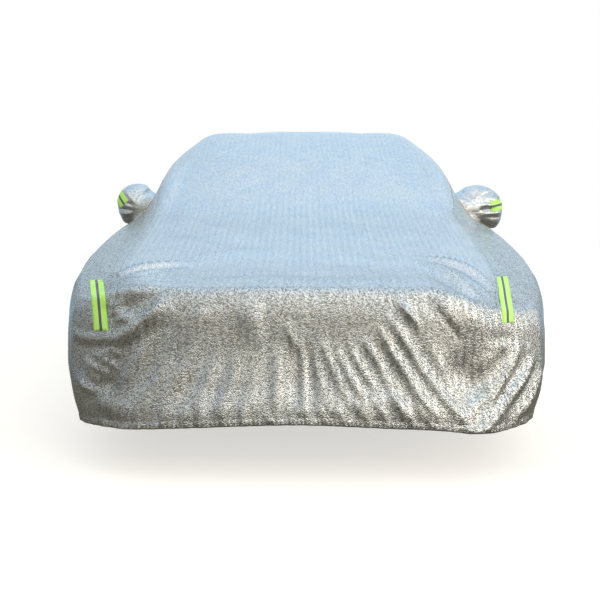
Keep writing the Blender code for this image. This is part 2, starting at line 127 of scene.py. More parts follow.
world = bpy.data.worlds.new("soft_daylight_studio")
world.use_nodes = True
bpy.context.scene.world = world
sky = world.node_tree
sky.nodes.clear()
sky_way = add_node(sky, "TexCoord")
sky_axes = add_node(sky, "SeparateXYZ", {0: sky_way.outputs["Generated"]})
sky_height = add_node(sky, "MapRange", {"Value": sky_axes.outputs["Z"], "From Min": -1.0, "From Max": 1.0})
sky_ramp = add_node(sky, "ValToRGB", {0: sky_height})
set_stops(sky_ramp.color_ramp, SKY_STOPS)
side_ramp = add_node(sky, "ValToRGB", {0: sky_height})
set_stops(side_ramp.color_ramp, SIDE_STOPS)
sky_off = add_node(sky, "Math", {0: sky_axes.outputs["X"]}, operation="ABSOLUTE")
sky_aside = add_node(
    sky, "MapRange", {"Value": sky_off, "From Min": BEHIND_WIDTH[0], "From Max": BEHIND_WIDTH[1]}
)
sky_rear = add_node(sky, "Mix", {0: sky_aside, 6: linear(SKY_BEHIND), 7: side_ramp}, data_type="RGBA")
sky_back = add_node(
    sky,
    "MapRange",
    {"Value": sky_axes.outputs["Y"], "From Min": 0.0, "From Max": BEHIND_REACH, "To Max": BEHIND_SHARE},
)
sky_both = add_node(sky, "Mix", {0: sky_back, 6: sky_ramp, 7: sky_rear.outputs[2]}, data_type="RGBA")
sky_side = add_node(
    sky,
    "MapRange",
    {
        "Value": sky_axes.outputs["X"],
        "From Min": LEFT_REACH[0],
        "From Max": LEFT_REACH[1],
        "To Min": SKY_POWER * LEFT_SHARE,
        "To Max": SKY_POWER,
    },
)
sky_light = add_node(sky, "Background", {"Color": sky_both.outputs[2], "Strength": sky_side})
sky_plain = add_node(sky, "Background", {"Color": linear(BACKDROP_WHITE), "Strength": 1.0})
sky_path = add_node(sky, "LightPath")
sky_mix = add_node(sky, "MixShader", {0: sky_path.outputs["Is Camera Ray"], 1: sky_light, 2: sky_plain})
add_node(sky, "OutputWorld", {"Surface": sky_mix})

for number, (place, turn, size, power, code) in enumerate(SOFT_LAMPS):
    bpy.ops.object.light_add(type="AREA", location=place, rotation=[math.radians(a) for a in turn])
    lamp = bpy.context.object
    lamp.name = f"soft_lamp_{number + 1}"
    lamp.data.size = size
    lamp.data.energy = power
    lamp.data.color = linear(code)[:3]

floor_look = bpy.data.materials.new("pale_studio_floor")
floor_look.use_nodes = True
tree = floor_look.node_tree
tree.nodes.clear()
seen_floor = add_node(tree, "BsdfDiffuse", {"Color": linear(FLOOR_SHADED), "Roughness": 1.0})
glow = add_node(tree, "Emission", {"Color": linear(FLOOR_PALE), "Strength": FLOOR_GLOW})
pale = add_node(tree, "AddShader", {0: seen_floor, 1: glow})
floor_way = add_node(tree, "TexCoord")
floor_axes = add_node(tree, "SeparateXYZ", {0: floor_way.outputs["Object"]})
floor_back = add_node(
    tree, "MapRange", {"Value": floor_axes.outputs["Y"], "From Min": 0.0, "From Max": GROUND_REACH}
)
floor_tone = add_node(
    tree, "Mix", {0: floor_back, 6: linear(GROUND_TONE), 7: linear(GROUND_BEHIND)}, data_type="RGBA"
)
ground = add_node(tree, "BsdfDiffuse", {"Color": floor_tone.outputs[2], "Roughness": 1.0})
path = add_node(tree, "LightPath")
either = add_node(tree, "MixShader", {0: path.outputs["Is Camera Ray"], 1: ground, 2: pale})
add_node(tree, "OutputMaterial", {"Surface": either})

bpy.ops.mesh.primitive_circle_add(vertices=96, radius=FLOOR_RADIUS, fill_type="NGON", location=(0, 0, 0))
floor = bpy.context.object
floor.name = "floor"
floor.data.transform(Matrix.Translation((0, 0, FLOOR_Z)))
floor.data.materials.append(floor_look)

# -----------------------------------------------------------------------------------------------------
# The draped form that all the panels share: cross-sections from nose to tail, a skirt that drops from
# their edge to the gathered hem, and the folds. Below, s is the distance behind the nose and z the height
# above the floor. The frame's origin lies on the inside of the cloth under the middle of the top.
ORIGIN = (0.0, 2.75, 1.4704)  # by x, s and z
COLUMN_STOPS = [0.0, 0.6, 0.8, 0.9, 1.0]  # centre, rail, seam, belt, edge
COLUMN_REACH = [0.0, 0.67, 0.81, 0.90, 1.0]  # how far out they lie, as a share of the edge's x
HALF_COLUMNS = [64, 14, 8, 8]
ROWS = [  # from s, to s, number of rows
    (0.05, 1.22, 70), (1.22, 1.54, 16), (1.54, 1.80, 13),
    (1.80, 2.10, 14), (2.10, 3.35, 38), (3.35, 4.70, 52),
]
SECTIONS = [  # millimetres: s, centre's z, then x and z of the rail, the seam, the belt and the edge
    (   0,  646,  550,  626,  625,  594,  690,  566,  730,  550),
    ( 120,  686,  565,  668,  655,  638,  722,  612,  768,  596),
    ( 250,  709,  580,  692,  685,  665,  752,  645,  808,  626),
    ( 400,  735,  600,  717,  712,  697,  784,  680,  856,  658),
    ( 600,  788,  605,  770,  722,  754,  802,  738,  893,  714),
    ( 850,  858,  605,  838,  722,  822,  804,  804,  896,  778),
    (1050,  912,  605,  892,  722,  874,  802,  852,  892,  824),
    (1220,  972,  610,  946,  722,  922,  798,  890,  890,  856),
    (1500, 1130,  615, 1102,  735, 1074,  808,  958,  892,  896),
    (1750, 1272,  618, 1234,  740, 1158,  810,  970,  890,  904),
    (1950, 1358,  612, 1320,  738, 1190,  808,  972,  890,  908),
    (2150, 1424,  604, 1383,  732, 1202,  806,  972,  890,  910),
    (2450, 1467,  598, 1406,  728, 1208,  805,  972,  890,  912),
    (2800, 1478,  590, 1407,  725, 1208,  803,  974,  890,  916),
    (3200, 1454,  580, 1392,  722, 1198,  799,  978,  890,  924),
    (3500, 1382,  574, 1326,  716, 1172,  792,  984,  888,  932),
    (3800, 1245,  568, 1207,  710, 1118,  784,  992,  885,  940),
    (4050, 1128,  568, 1102,  704, 1062,  774, 1002,  878,  946),
    (4300, 1062,  562, 1046,  695, 1026,  758, 1000,  862,  948),
    (4550, 1036,  550, 1020,  672, 1000,  730,  974,  822,  934),
    (4750,  985,  535,  970,  645,  952,  695,  930,  760,  895),
]
# where the sections' points stand on the way across, from the left edge by the centre to the right one
KNOTS = [-1.0, -0.9, -0.8, -0.6, -0.3, 0.0, 0.3, 0.6, 0.8, 0.9, 1.0]
CROWN = 0.14  # half way from centre to rail, the share of the fall to the rail
FRONT_BOW = REAR_BOW = 0.20  # how far the edge falls back at the front and comes forward at the rear
BOW_LENGTH = 0.90  # and over how much of the length that fades
CORNER_LIFT = 0.016  # the left front corner stands a little high
LIFT_MIDDLE, LIFT_SPREAD = (-0.60, 0.17), (0.11, 0.13)  # by x and s
CORNER_FALL = 0.052  # and the right one is drawn down, so that its edge runs slantwise
FALL_ACROSS, FALL_MIDDLE, FALL_SPREAD = (0.40, 0.66), 0.12, 0.17  # between two x, and round an s
SKIRT = [  # how far down towards the hem, and how far out from the rim
    (0.0, 0.0), (0.06, 0.020), (0.15, 0.034), (0.30, 0.042), (0.48, 0.046), (0.66, 0.046), (0.83, 0.038),
    (0.93, 0.030), (1.0, 0.020),
]
FRONT_SKIRT = [  # the same at the front, where it stands out above the hem
    (0.0, 0.0), (0.02, 0.013), (0.05, 0.020), (0.10, 0.027), (0.17, 0.033), (0.30, 0.035), (0.50, 0.037),
    (0.70, 0.052), (0.90, 0.076), (1.0, 0.078),
]
FRONT_END = (0.16, 0.34)  # the front's skirt turns into the side's between these
CORNER_DRAW = 0.034  # how far the elastic draws the hem in at the front corners
# that grows down the skirt and out to the corners, and ends behind them
DRAW_DOWN, DRAW_ACROSS, DRAW_BACK = (0.62, 1.0), (0.58, 0.74), (0.35, 0.90)
SKIRT_RINGS = 36
RING_CROWDING = 1.15  # above 1 the rings lie closer together near the rim
HEM_RINGS = [0.022, 0.017, 0.011, 0.005, 0.0]  # rings of the turned hem, metres above its edge
HEM_GAP = 0.006  # from the last ring of the skirt to the first of them
HEM_CASING, CASING_EDGE = 0.020, 0.003  # height of the turned hem, and half the width of its step
CASING_RISE = 0.0022  # how far it stands proud
FRONT_HEM = [  # x, height of the hem
    (-0.80, 0.176), (-0.65, 0.184), (-0.40, 0.201), (0.00, 0.214), (0.25, 0.203), (0.45, 0.190),
    (0.54, 0.177), (0.72, 0.178), (0.82, 0.190),
]
SIDE_HEM_Z = 0.195
LONG_WAVE, SHORT_WAVE = (0.012, 3.1), (0.006, 8.3)  # the sides' hem: height, and radians to a metre
SIDES_APART = 0.8  # by how many radians the long wave runs ahead on the right and lags on the left
HEM_TURN = (0.25, 0.60)  # the front's hem turns into the side's between these
TOP_LEVEL = 0.9  # what above_hem says of the top
EDGE_SLACK, EDGE_REACH = 0.17, (0.70, 0.86)  # how much less it says at the edges, and where on the way
NOSE_SLACK, NOSE_REACH = 0.09, (0.05, 0.45)  # across that grows; and at the nose, and over which s
RIM_REACHES = (0.03, 0.06, 0.09)  # lengths over which the rim's way ahead is taken

# Folds: three points along each in centimetres, its half width and how far it stands out (or in, below
# zero) in millimetres, and how soft its crest is. On the front a point is x and z, seen from ahead; on the
# top x and s; on a side s and z; behind x and z. Left and right are as seen from ahead.
FOLDS = {
    "front": [
        # the shelf under the right tape, with its crease and its valley
        (40, 65, 45, 62, 51, 59, 30, 5, 1.5), (50, 59.5, 58, 56, 67, 54, 30, 5, 1.5),
        (41, 65, 41, 61, 43, 57, 12, -10, 1.4), (42.5, 64, 45.5, 56.8, 52, 49, 10, -7, 1.4),
        (45, 64, 48, 57, 54.5, 50.5, 18, 3, 1.6),
        # the shaded hollow under the shelf, and the bright nick beside it
        (44, 53, 51, 49, 59, 47, 50, -5, 1.7), (46, 40, 54, 36, 62, 35, 80, -29, 2.0),
        (53, 34, 56, 31, 58, 28, 55, -8, 2.0), (66, 44, 61, 41, 56, 37, 28, 7, 1.6),
        (64, 46, 67, 46, 71, 46, 18, 6, 1.5), (63, 49, 67, 49, 72, 49, 14, -5, 1.5),
        # long diagonals, pulled from the shelf towards the middle of the hem
        (25, 52, 29, 44, 34, 37, 16, 20, 1.3), (33, 38, 38, 30, 44, 23, 16, 22, 1.3),
        (31, 52, 35, 45, 39, 38, 16, 18, 1.3), (39, 39, 45, 31, 53, 22, 16, 20, 1.3),
        (41, 48, 46, 38, 52, 29, 23, 14, 1.3), (19, 49, 23, 43, 27, 35, 15, 14, 1.3),
        (26, 36, 30, 28, 34, 22, 15, 14, 1.3), (14, 48, 18, 40, 26, 28, 15, 13, 1.3),
        (10, 46, 15, 36, 22, 24, 15, 13, 1.3), (5, 49, 8, 41, 14, 28, 15, 11, 1.3),
        (2, 48, 4, 37, 8, 25, 15, 8, 1.3),
        # short folds at the head and the foot of the diagonals
        (32, 60, 35, 57, 38, 52, 12, 12, 1.3), (30, 63, 33, 59, 35, 56, 12, 9, 1.3),
        (27, 57, 30, 53, 32, 49, 12, 9, 1.3), (20, 32, 24, 27, 27, 22, 12, 11, 1.3),
        (15, 30, 18, 26, 21, 22, 12, 9, 1.3), (29, 30, 33, 26, 36, 21, 12, 11, 1.3),
        (36, 28, 39, 24, 43, 20, 12, 11, 1.3),
        # the fan that runs down and in from the right corner
        (74, 46, 69, 37, 62, 27, 16, 24, 1.3), (80, 41, 74, 33, 67, 25, 16, 25, 1.3),
        (67, 25, 63, 21, 58, 18, 12, 10, 1.3), (84, 35, 79, 27, 72, 20, 13, 16, 1.3),
        (77, 43, 71, 35, 64, 26, 10, -13, 1.3), (61, 27, 58, 23, 55, 20, 14, -12, 1.3),
        (79, 46, 73, 38, 66, 30, 10, 10, 1.3), (70, 43, 65, 35, 58, 27, 12, 10, 1.3),
        (81, 37, 76, 30, 69, 22, 10, -7, 1.3), (53, 20, 55, 19, 57, 18, 16, 12, 1.3),
        # the lip under the left tape, and the shadow below it
        (-84, 49, -75, 48, -68, 49, 15, 12, 1.4), (-69, 48, -62, 50, -56, 55, 24, 21, 1.4),
        (-56, 54, -51, 59, -47, 63, 26, 23, 1.5), (-82, 45.5, -73, 45, -65, 45, 12, -4, 1.6),
        (-63, 45.5, -55, 49, -46, 56, 18, -4, 1.6),
        # the slack facet above the lip
        (-73, 58.5, -60, 60, -47, 64.5, 40, -19, 2.0),
        # crinkles below the left tape
        (-72, 44, -67, 44, -63, 44, 11, 18, 1.3), (-78, 40, -72, 38, -68, 36, 11, 18, 1.3),
        (-71, 42, -68, 41, -65, 39, 11, 18, 1.3), (-81, 33, -77, 31, -73, 30, 11, 18, 1.3),
        (-75, 43, -71, 41, -68, 38, 10, 11, 1.2), (-77, 37, -73, 35, -70, 34, 10, 11, 1.2),
        # and in the facet
        (-70, 61, -66, 60, -63, 62, 11, 14, 1.3), (-69, 57, -65, 58, -62, 56, 11, 14, 1.3),
        (-66, 55, -62, 56, -59, 58, 11, 14, 1.3),
        # the low left corner
        (-72, 33, -68, 33, -64, 32, 28, -9, 1.8), (-74, 27, -68, 26, -63, 26, 29, 7, 1.6),
        (-72, 22, -66, 21, -59, 21, 21, -5, 1.8),
        # broad soft folds left of the middle
        (-37, 48, -42, 38, -49, 28, 25, 14, 1.8), (-44, 48, -49, 37, -57, 27, 25, 11, 1.8),
        (-30, 46, -33, 36, -39, 24, 22, 12, 1.8), (-23, 45, -25, 35, -31, 23, 22, 11, 1.8),
        (-53, 49, -58, 41, -65, 30, 22, 11, 1.8), (-34, 60, -37, 55, -41, 48, 24, 8, 1.8),
        # the pale band between them and the middle
        (-19, 63, -18, 56, -17, 47, 44, 9, 2.4), (-14, 63, -14, 56, -13, 47, 18, -5, 1.5),
        (-17, 47, -18, 37, -19, 25, 32, 7, 1.8),
        # ridges and creases down the middle
        (-10, 46, -10, 36, -11, 25, 22, 11, 1.8), (-7, 55, -5, 50, -3, 46, 11, 8, 1.3),
        (-3, 46, -3, 39, -4, 29, 13, -8, 1.3), (-2, 48, -1, 39, -1, 26, 13, 8, 1.3),
        (0, 48, 1, 39, 2, 25, 12, -8, 1.3),
        # nicks and pleats that rise from the hem
        (-14, 26, -13, 24, -11, 22, 12, 8, 1.3), (-4, 25, -2, 26, 0, 25, 12, 6, 1.3),
        (-34, 28, -35, 24, -36, 21, 12, 8, 1.3), (-40, 27, -41, 24, -42, 21, 12, 8, 1.3),
        (-46, 27, -48, 23, -49, 20, 12, 8, 1.3), (-27, 28, -28, 25, -28, 21, 12, 8, 1.3),
        (-20, 28, -21, 25, -21, 21, 12, 8, 1.3), (4, 28, 5, 25, 7, 22, 12, 8, 1.3),
        (9, 28, 11, 25, 13, 22, 12, 8, 1.3),
    ],
    "top": [
        # ridges and valleys that run back from the right front corner
        (44, 48, 56, 40, 67, 28, 24, 36, 1.6), (42, 43, 51, 27, 60, 12, 23, 34, 1.6),
        (50, 38, 59, 25, 67, 14, 20, 18, 1.6), (43, 26, 51, 14, 63, 9, 18, -10, 1.6),
        # and from the left one, over the brow of the slack facet
        (-72, 25, -63, 18, -56, 15, 18, 14, 1.4), (-57, 15, -53, 20, -48, 28, 18, 11, 1.4),
        (-76, 29, -60, 35, -43, 42, 21, 33, 1.6), (-72, 22, -60, 26, -46, 32, 18, 14, 1.6),
        (-67, 22, -58, 22, -49, 29, 16, -12, 1.6),
        # the slope in front of the top
        (-45, 148, -29, 164, -5, 183, 53, 7, 2.0), (-36, 134, -17, 150, 9, 167, 51, -6, 2.0),
        (33, 182, 44, 159, 51, 136, 57, 6, 2.0), (-51, 133, -37, 134, -18, 133, 44, 5, 2.0),
        (-60, 196, -64, 167, -66, 141, 32, 7, 1.8), (-74, 128, -48, 101, -28, 78, 36, 7, 1.8),
        (-71, 106, -45, 81, -24, 61, 34, -6, 1.8),
        # puckers along the right seam, and the foot of the slope there
        (60, 190, 66, 174, 71, 154, 27, 8, 1.5), (54, 185, 59, 169, 64, 149, 27, 5, 1.5),
        (59, 174, 62, 166, 66, 156, 27, -8, 1.6), (68, 134, 73, 126, 76, 108, 39, -9, 2.0),
        (60, 138, 64, 125, 66, 103, 38, 5, 2.0),
        # ripples over the nose and the left shoulder
        (-48, 46, -26, 56, -2, 50, 47, 5, 2.0), (9, 58, 28, 44, 48, 51, 47, 5, 2.0),
        (-38, 19, -6, 21, 26, 17, 28, -4, 2.0), (-86, 69, -80, 54, -76, 42, 22, 4, 1.6),
        # the top and the rear slope
        (-30, 260, 5, 275, 32, 305, 120, -7, 2.0), (-10, 345, -30, 375, -52, 405, 70, 10, 1.8),
        (12, 350, 30, 380, 50, 410, 70, -10, 1.8), (0, 355, -12, 385, -22, 418, 50, 6, 1.8),
        (30, 342, 44, 366, 58, 390, 50, 7, 1.7),
        # the tail
        (-45, 435, 0, 442, 46, 433, 70, 7, 1.8), (-38, 425, -52, 442, -62, 460, 40, 8, 1.6),
        (36, 428, 50, 446, 60, 464, 40, 8, 1.6),
    ],
    "left": [
        # broad drags and sags
        (62, 66, 95, 52, 130, 30, 70, -18, 1.8), (75, 46, 100, 42, 125, 22, 60, 15, 1.7),
        (160, 78, 220, 64, 290, 74, 90, -15, 1.9), (180, 40, 210, 32, 235, 22, 80, 15, 1.8),
        (420, 70, 385, 52, 345, 28, 80, -18, 1.8), (220, 122, 260, 106, 310, 102, 70, -13, 1.8),
        # and finer ones between them
        (55, 52, 72, 40, 86, 25, 28, 8, 1.5), (102, 62, 122, 50, 142, 30, 32, 8, 1.5),
        (145, 72, 166, 55, 184, 33, 36, 9, 1.6), (245, 58, 262, 44, 274, 26, 36, 8, 1.6),
        (305, 66, 298, 50, 290, 28, 38, -9, 1.6), (402, 56, 374, 42, 352, 24, 34, 9, 1.5),
        (440, 62, 424, 46, 414, 26, 36, 9, 1.5), (250, 128, 274, 118, 304, 114, 34, 6, 1.6),
        (330, 122, 352, 112, 384, 104, 36, 7, 1.6),
    ],
    "right": [
        # broad drags and sags
        (66, 68, 98, 50, 122, 27, 70, -18, 1.8), (70, 42, 92, 36, 110, 22, 60, 15, 1.7),
        (170, 74, 230, 62, 280, 70, 90, -15, 1.9), (240, 42, 265, 33, 295, 22, 80, 17, 1.8),
        (415, 72, 380, 56, 350, 30, 80, -17, 1.8), (200, 118, 245, 104, 295, 106, 70, -13, 1.8),
        # and finer ones between them
        (52, 56, 66, 42, 80, 24, 28, 8, 1.5), (108, 60, 130, 46, 146, 28, 32, 9, 1.5),
        (152, 66, 178, 50, 200, 30, 36, 8, 1.6), (220, 60, 228, 44, 234, 27, 34, -8, 1.6),
        (320, 68, 306, 50, 298, 30, 38, 9, 1.6), (405, 60, 382, 44, 360, 25, 34, 9, 1.5),
        (442, 58, 430, 44, 422, 25, 36, 8, 1.5), (260, 126, 284, 117, 312, 112, 34, 7, 1.6),
        (336, 120, 360, 111, 390, 103, 36, 6, 1.6),
    ],
    "rear": [
        # broad drags and the sag of the middle
        (-70, 78, -50, 55, -36, 28, 70, -18, 1.8), (66, 80, 52, 56, 30, 30, 70, -18, 1.8),
        (-30, 62, 2, 52, 34, 60, 62, 22, 1.3),
        # and finer ones between them
        (-74, 66, -60, 46, -50, 26, 30, 9, 1.5), (-56, 78, -40, 58, -28, 36, 32, 8, 1.5),
        (74, 68, 62, 48, 50, 27, 30, 9, 1.5), (58, 80, 42, 60, 24, 38, 32, 8, 1.5),
        (-20, 40, -16, 32, -14, 23, 26, 7, 1.5), (6, 42, 8, 33, 12, 23, 28, 7, 1.5),
    ],
}
VIEWS = {  # where each kind of fold is seen from, and which way
    "front": (lambda a, b: (a, -1.0, b), (0, 1, 0)),
    "top": (lambda a, b: (a, b, 2.5), (0, 0, -1)),
    "left": (lambda a, b: (-2.0, a, b), (1, 0, 0)),
    "right": (lambda a, b: (2.0, a, b), (-1, 0, 0)),
    "rear": (lambda a, b: (a, 6.0, b), (0, -1, 0)),
}
LOOK_DEPTH = 2.4  # a point seen past the cloth's outline goes to the cloth nearest to this depth
FOLD_STEPS = 13
FOLD_ENDS = 0.30  # a fold's height at its ends, as a share of that in its middle
FOLD_REACH = 3  # half widths of a fold beyond which it moves nothing
STREAKS = 0.0013  # height of the fine pulled streaks on the skirt
STREAK_WAVES = [(30.0, 3.2, 4.0, 1.0), (58.0, 6.0, 9.0, 0.6)]  # to a metre across and down, seed, share
STREAK_START = 0.12  # they reach their full height this far below the rim
FRONT_LEAN, SIDE_LEAN = 0.62, 0.30  # how far they lean on the way down
FRONT_LEAN_END, SIDE_LEAN_RATE = 0.5, 2.1  # s where the side's lean starts, and its radians to a metre
CRINKLE = 0.0011  # height of the film's small all-over crinkles
CRINKLE_WAVES = [(11.0, 1.0), (24.0, 0.55)]  # to a metre, share
GATHER = 0.0030  # height of the gathers along the hem
GATHER_WAVE, GATHER_REACH = 0.058, 0.085  # their length along the hem, and how high up they reach
UNEVEN_RATE, UNEVEN_SEED = 9.0, 2.0  # how often to a metre they change along it
UNEVEN_TURN, UNEVEN_HEIGHTS = 5.0, (0.6, 0.8)  # by how many radians, and middle height and its change


def smooth(knots, values, at):
    """Values between the knots on a smooth curve that passes through each of them."""
    knots = np.asarray(knots, float)
    values = np.asarray(values, float)
    slopes = np.gradient(values, knots)
    at = np.clip(at, knots[0], knots[-1])
    i = np.clip(np.searchsorted(knots, at, side="right") - 1, 0, len(knots) - 2)
    step = knots[i + 1] - knots[i]
    t = (at - knots[i]) / step
    a = (2 * t**3 - 3 * t**2 + 1) * values[i] + (t**3 - 2 * t**2 + t) * step * slopes[i]
    b = (3 * t**2 - 2 * t**3) * values[i + 1] + (t**3 - t**2) * step * slopes[i + 1]
    return a + b


def fade(value, start, end):
    """0 at start, 1 at end, with soft ends."""
    t = np.clip((value - start) / (end - start), 0.0, 1.0)
    return t * t * (3.0 - 2.0 * t)


def spread(stops, counts):
    """Evenly divided places between stops, the given number of divisions in each."""
    found = [stops[0]]
    for start, end, count in zip(stops, stops[1:], counts):
        found += [start + (end - start) * (k + 1) / count for k in range(count)]
    return np.array(found)


def draped_top():
    """Points of the top, rows by columns by (x, s, z)."""
    reach = smooth(COLUMN_STOPS, COLUMN_REACH, np.abs(column_u)) ** 4
    front = np.clip(1 - (row_s - row_s[0]) / BOW_LENGTH, 0, 1)
    rear = np.clip(1 - (row_s[-1] - row_s) / BOW_LENGTH, 0, 1)
    place = row_s[:, None] + reach * (FRONT_BOW * front - REAR_BOW * rear)[:, None]
    table = np.array(SECTIONS) / 1000
    centre, rail_x, rail_z, seam_x, seam_z, belt_x, belt_z, edge_x, edge_z = (
        smooth(table[:, 0], table[:, k], place) for k in range(1, 10)
    )
    half_x = [0.5 * rail_x, rail_x, seam_x, belt_x, edge_x]
    half_z = [centre + CROWN * (rail_z - centre), rail_z, seam_z, belt_z, edge_z]
    xs = [-x for x in reversed(half_x)] + [0 * centre] + half_x
    zs = half_z[::-1] + [centre] + half_z
    share = [smooth(KNOTS, unit, column_u) for unit in np.eye(len(KNOTS))]
    x, z = sum(w * x for w, x in zip(share, xs)), sum(w * z for w, z in zip(share, zs))
    across, behind = (x - LIFT_MIDDLE[0]) / LIFT_SPREAD[0], (place - LIFT_MIDDLE[1]) / LIFT_SPREAD[1]
    z += CORNER_LIFT * np.exp(-(across**2) - behind**2)
    z -= CORNER_FALL * fade(x, *FALL_ACROSS) * np.exp(-(((place - FALL_MIDDLE) / FALL_SPREAD) ** 2))
    return np.stack([x, place, z], axis=-1)


def hem_height(x, s):
    """Height of the hem above the floor; along the sides it rises and falls in two slow waves."""
    front = smooth(*zip(*FRONT_HEM), x)
    side = SIDE_HEM_Z + LONG_WAVE[0] * np.sin(s * LONG_WAVE[1] + SIDES_APART * np.sign(x))
    side += SHORT_WAVE[0] * np.sin(s * SHORT_WAVE[1])
    share = fade(s, *HEM_TURN)
    return front * (1 - share) + side * share


def round_the_rim(rim):
    """Each point's distance along the closed rim, its distance to the next, and the level way out there."""
    steps = np.linalg.norm(np.roll(rim, -1, axis=0)[:, :2] - rim[:, :2], axis=1)
    along = np.concatenate([[0.0], np.cumsum(steps)])
    closed = np.vstack([rim, rim[:1]])

    def at(place):
        place = np.mod(place, along[-1])
        return np.stack([np.interp(place, along, closed[:, k]) for k in (0, 1)], axis=1)

    # taken over three lengths, the way ahead turns softly round the corners
    ahead = sum(at(along[:-1] + d) - at(along[:-1] - d) for d in RIM_REACHES)
    out = np.stack([ahead[:, 1], -ahead[:, 0]], axis=1)
    return along[:-1], steps, out / np.linalg.norm(out, axis=1)[:, None]


def grid_quads(index):
    """Faces between neighbouring rows and columns of point numbers."""
    corners = [index[:-1, :-1], index[:-1, 1:], index[1:, 1:], index[1:, :-1]]
    return np.stack(corners, axis=-1).reshape(-1, 4)


def along_line(line):
    """Distance of each point of a line from its start."""
    return np.concatenate([[0.0], np.cumsum(np.linalg.norm(np.diff(line, axis=0), axis=1))])


def outward(points, faces):
    """Unit normal at each point, from the faces around it."""
    corners = points[faces]
    across = np.cross(corners[:, 2] - corners[:, 0], corners[:, 3] - corners[:, 1])
    total = np.zeros_like(points)
    for corner in range(4):
        np.add.at(total, faces[:, corner], across)
    return total / np.maximum(np.linalg.norm(total, axis=1), 1e-12)[:, None]


def fold_line(values, cloth, kind):
    """A fold's line laid on the cloth, as a row of points."""
    start, look = VIEWS[kind]
    at = np.linspace(0, 1, FOLD_STEPS)
    line = []
    for p, q in zip(*(smooth([0.0, 0.5, 1.0], values[k::2], at) for k in (0, 1))):
        origin = Vector(start(float(p), float(q)))
        found = cloth.ray_cast(origin, Vector(look))[0]
        line.append(found or cloth.find_nearest(origin + LOOK_DEPTH * Vector(look))[0])
    return np.array(line)


def fold_height(points, line, half_width, height, softness):
    """How far a fold moves each point: a ridge or trough that fades towards its ends."""
    moved = np.zeros(len(points))
    reach = FOLD_REACH * half_width
    near = np.all((points > line.min(axis=0) - reach) & (points < line.max(axis=0) + reach), axis=1)
    some = points[near]
    best = np.full(len(some), 1e9)
    level = np.zeros(len(some))
    for k in range(len(line) - 1):
        step = line[k + 1] - line[k]
        t = np.clip(((some - line[k]) @ step) / max(step @ step, 1e-9), 0, 1)
        gap = np.linalg.norm(some - line[k] - t[:, None] * step, axis=1)
        share = (k + t) / (len(line) - 1)
        nearer = gap < best
        best = np.where(nearer, gap, best)
        level = np.where(nearer, FOLD_ENDS + (1 - FOLD_ENDS) * np.sin(np.pi * share) ** 0.8, level)
    moved[near] = height * level * np.exp(-((best / half_width) ** softness))
    return moved


def folded(points, faces, tables):
    """How far all the folds move each point, added up."""
    cloth = BVHTree.FromPolygons(points.tolist(), faces)
    moved = np.zeros(len(points))
    for kind, table in tables.items():
        for *sizes, softness in table:
            *values, half_width, height = np.array(sizes) / ([100] * 6 + [1000] * 2)
            moved += fold_height(points, fold_line(values, cloth, kind), half_width, height, softness)
    return moved


def streak_height(points):
    """Fine pulled streaks of the skirt, which lean with the big folds round them."""
    found = np.zeros(len(points))
    for i in np.nonzero(below_rim > 0)[0]:
        x, s, _ = points[i]
        fall = below_rim[i]
        lean = SIDE_LEAN * math.sin(SIDE_LEAN_RATE * along_rim[i])
        if s < FRONT_LEAN_END:
            lean = FRONT_LEAN * x
        across = along_rim[i] - fall * lean
        value = sum(w * noise.noise(Vector((across * a, fall * b, seed))) for a, b, seed, w in STREAK_WAVES)
        found[i] = value * min(fall / STREAK_START, 1.0)
    return found


def crinkle_height(points):
    """Small crinkles all over, as a stiff film takes when it is folded for storage and pulled over."""
    return np.array([sum(w * noise.noise(Vector(p) * a) for a, w in CRINKLE_WAVES) for p in points])


def gather_height():
    """Gathers that the elastic draws in the hem, deepest at the edge."""
    wave = np.array([noise.noise(Vector((a * UNEVEN_RATE, UNEVEN_SEED, 0.0))) for a in along_rim])
    ripple = np.sin(2 * np.pi * along_rim / GATHER_WAVE + UNEVEN_TURN * wave)
    ripple *= UNEVEN_HEIGHTS[0] + UNEVEN_HEIGHTS[1] * wave
    return np.where(below_rim > 0, ripple * (1 - fade(above_hem, 0.0, GATHER_REACH)), 0.0)


half_u = spread(COLUMN_STOPS, HALF_COLUMNS)
column_u = np.concatenate([-half_u[:0:-1], half_u])
row_s = spread([ROWS[0][0]] + [row[1] for row in ROWS], [row[2] for row in ROWS])
top = draped_top()
row_count, column_count = top.shape[:2]
top_count = row_count * column_count
top_index = np.arange(top_count).reshape(row_count, column_count)
loop = np.concatenate([top_index[0, :-1], top_index[:-1, -1], top_index[-1, :0:-1], top_index[:0:-1, 0]])
base = top.reshape(-1, 3)
rim = base[loop]
rim_along, rim_steps, rim_out = round_the_rim(rim)
drop = rim[:, 2] - hem_height(rim[:, 0], rim[:, 1])
falls = [(k / SKIRT_RINGS) ** RING_CROWDING for k in range(1, SKIRT_RINGS + 1)]
levels = [drop * (1 - (HEM_RINGS[0] + HEM_GAP) / drop) * fall for fall in falls]
levels += [drop - d for d in HEM_RINGS]
skirt = []
for level in levels:
    side_reach, front_reach = (smooth(*zip(*table), level / drop) for table in (SKIRT, FRONT_SKIRT))
    reach = side_reach + (front_reach - side_reach) * (1 - fade(rim[:, 1], *FRONT_END))
    drawn = CORNER_DRAW * fade(level / drop, *DRAW_DOWN) * fade(np.abs(rim[:, 0]), *DRAW_ACROSS)
    reach -= drawn * (1 - fade(rim[:, 1], *DRAW_BACK))
    ring = rim.copy()
    ring[:, :2] += rim_out * reach[:, None]
    ring[:, 2] -= level
    skirt.append(ring)
base = np.concatenate([base] + skirt)
rings = np.array([loop] + [top_count + k * len(loop) + np.arange(len(loop)) for k in range(len(levels))])

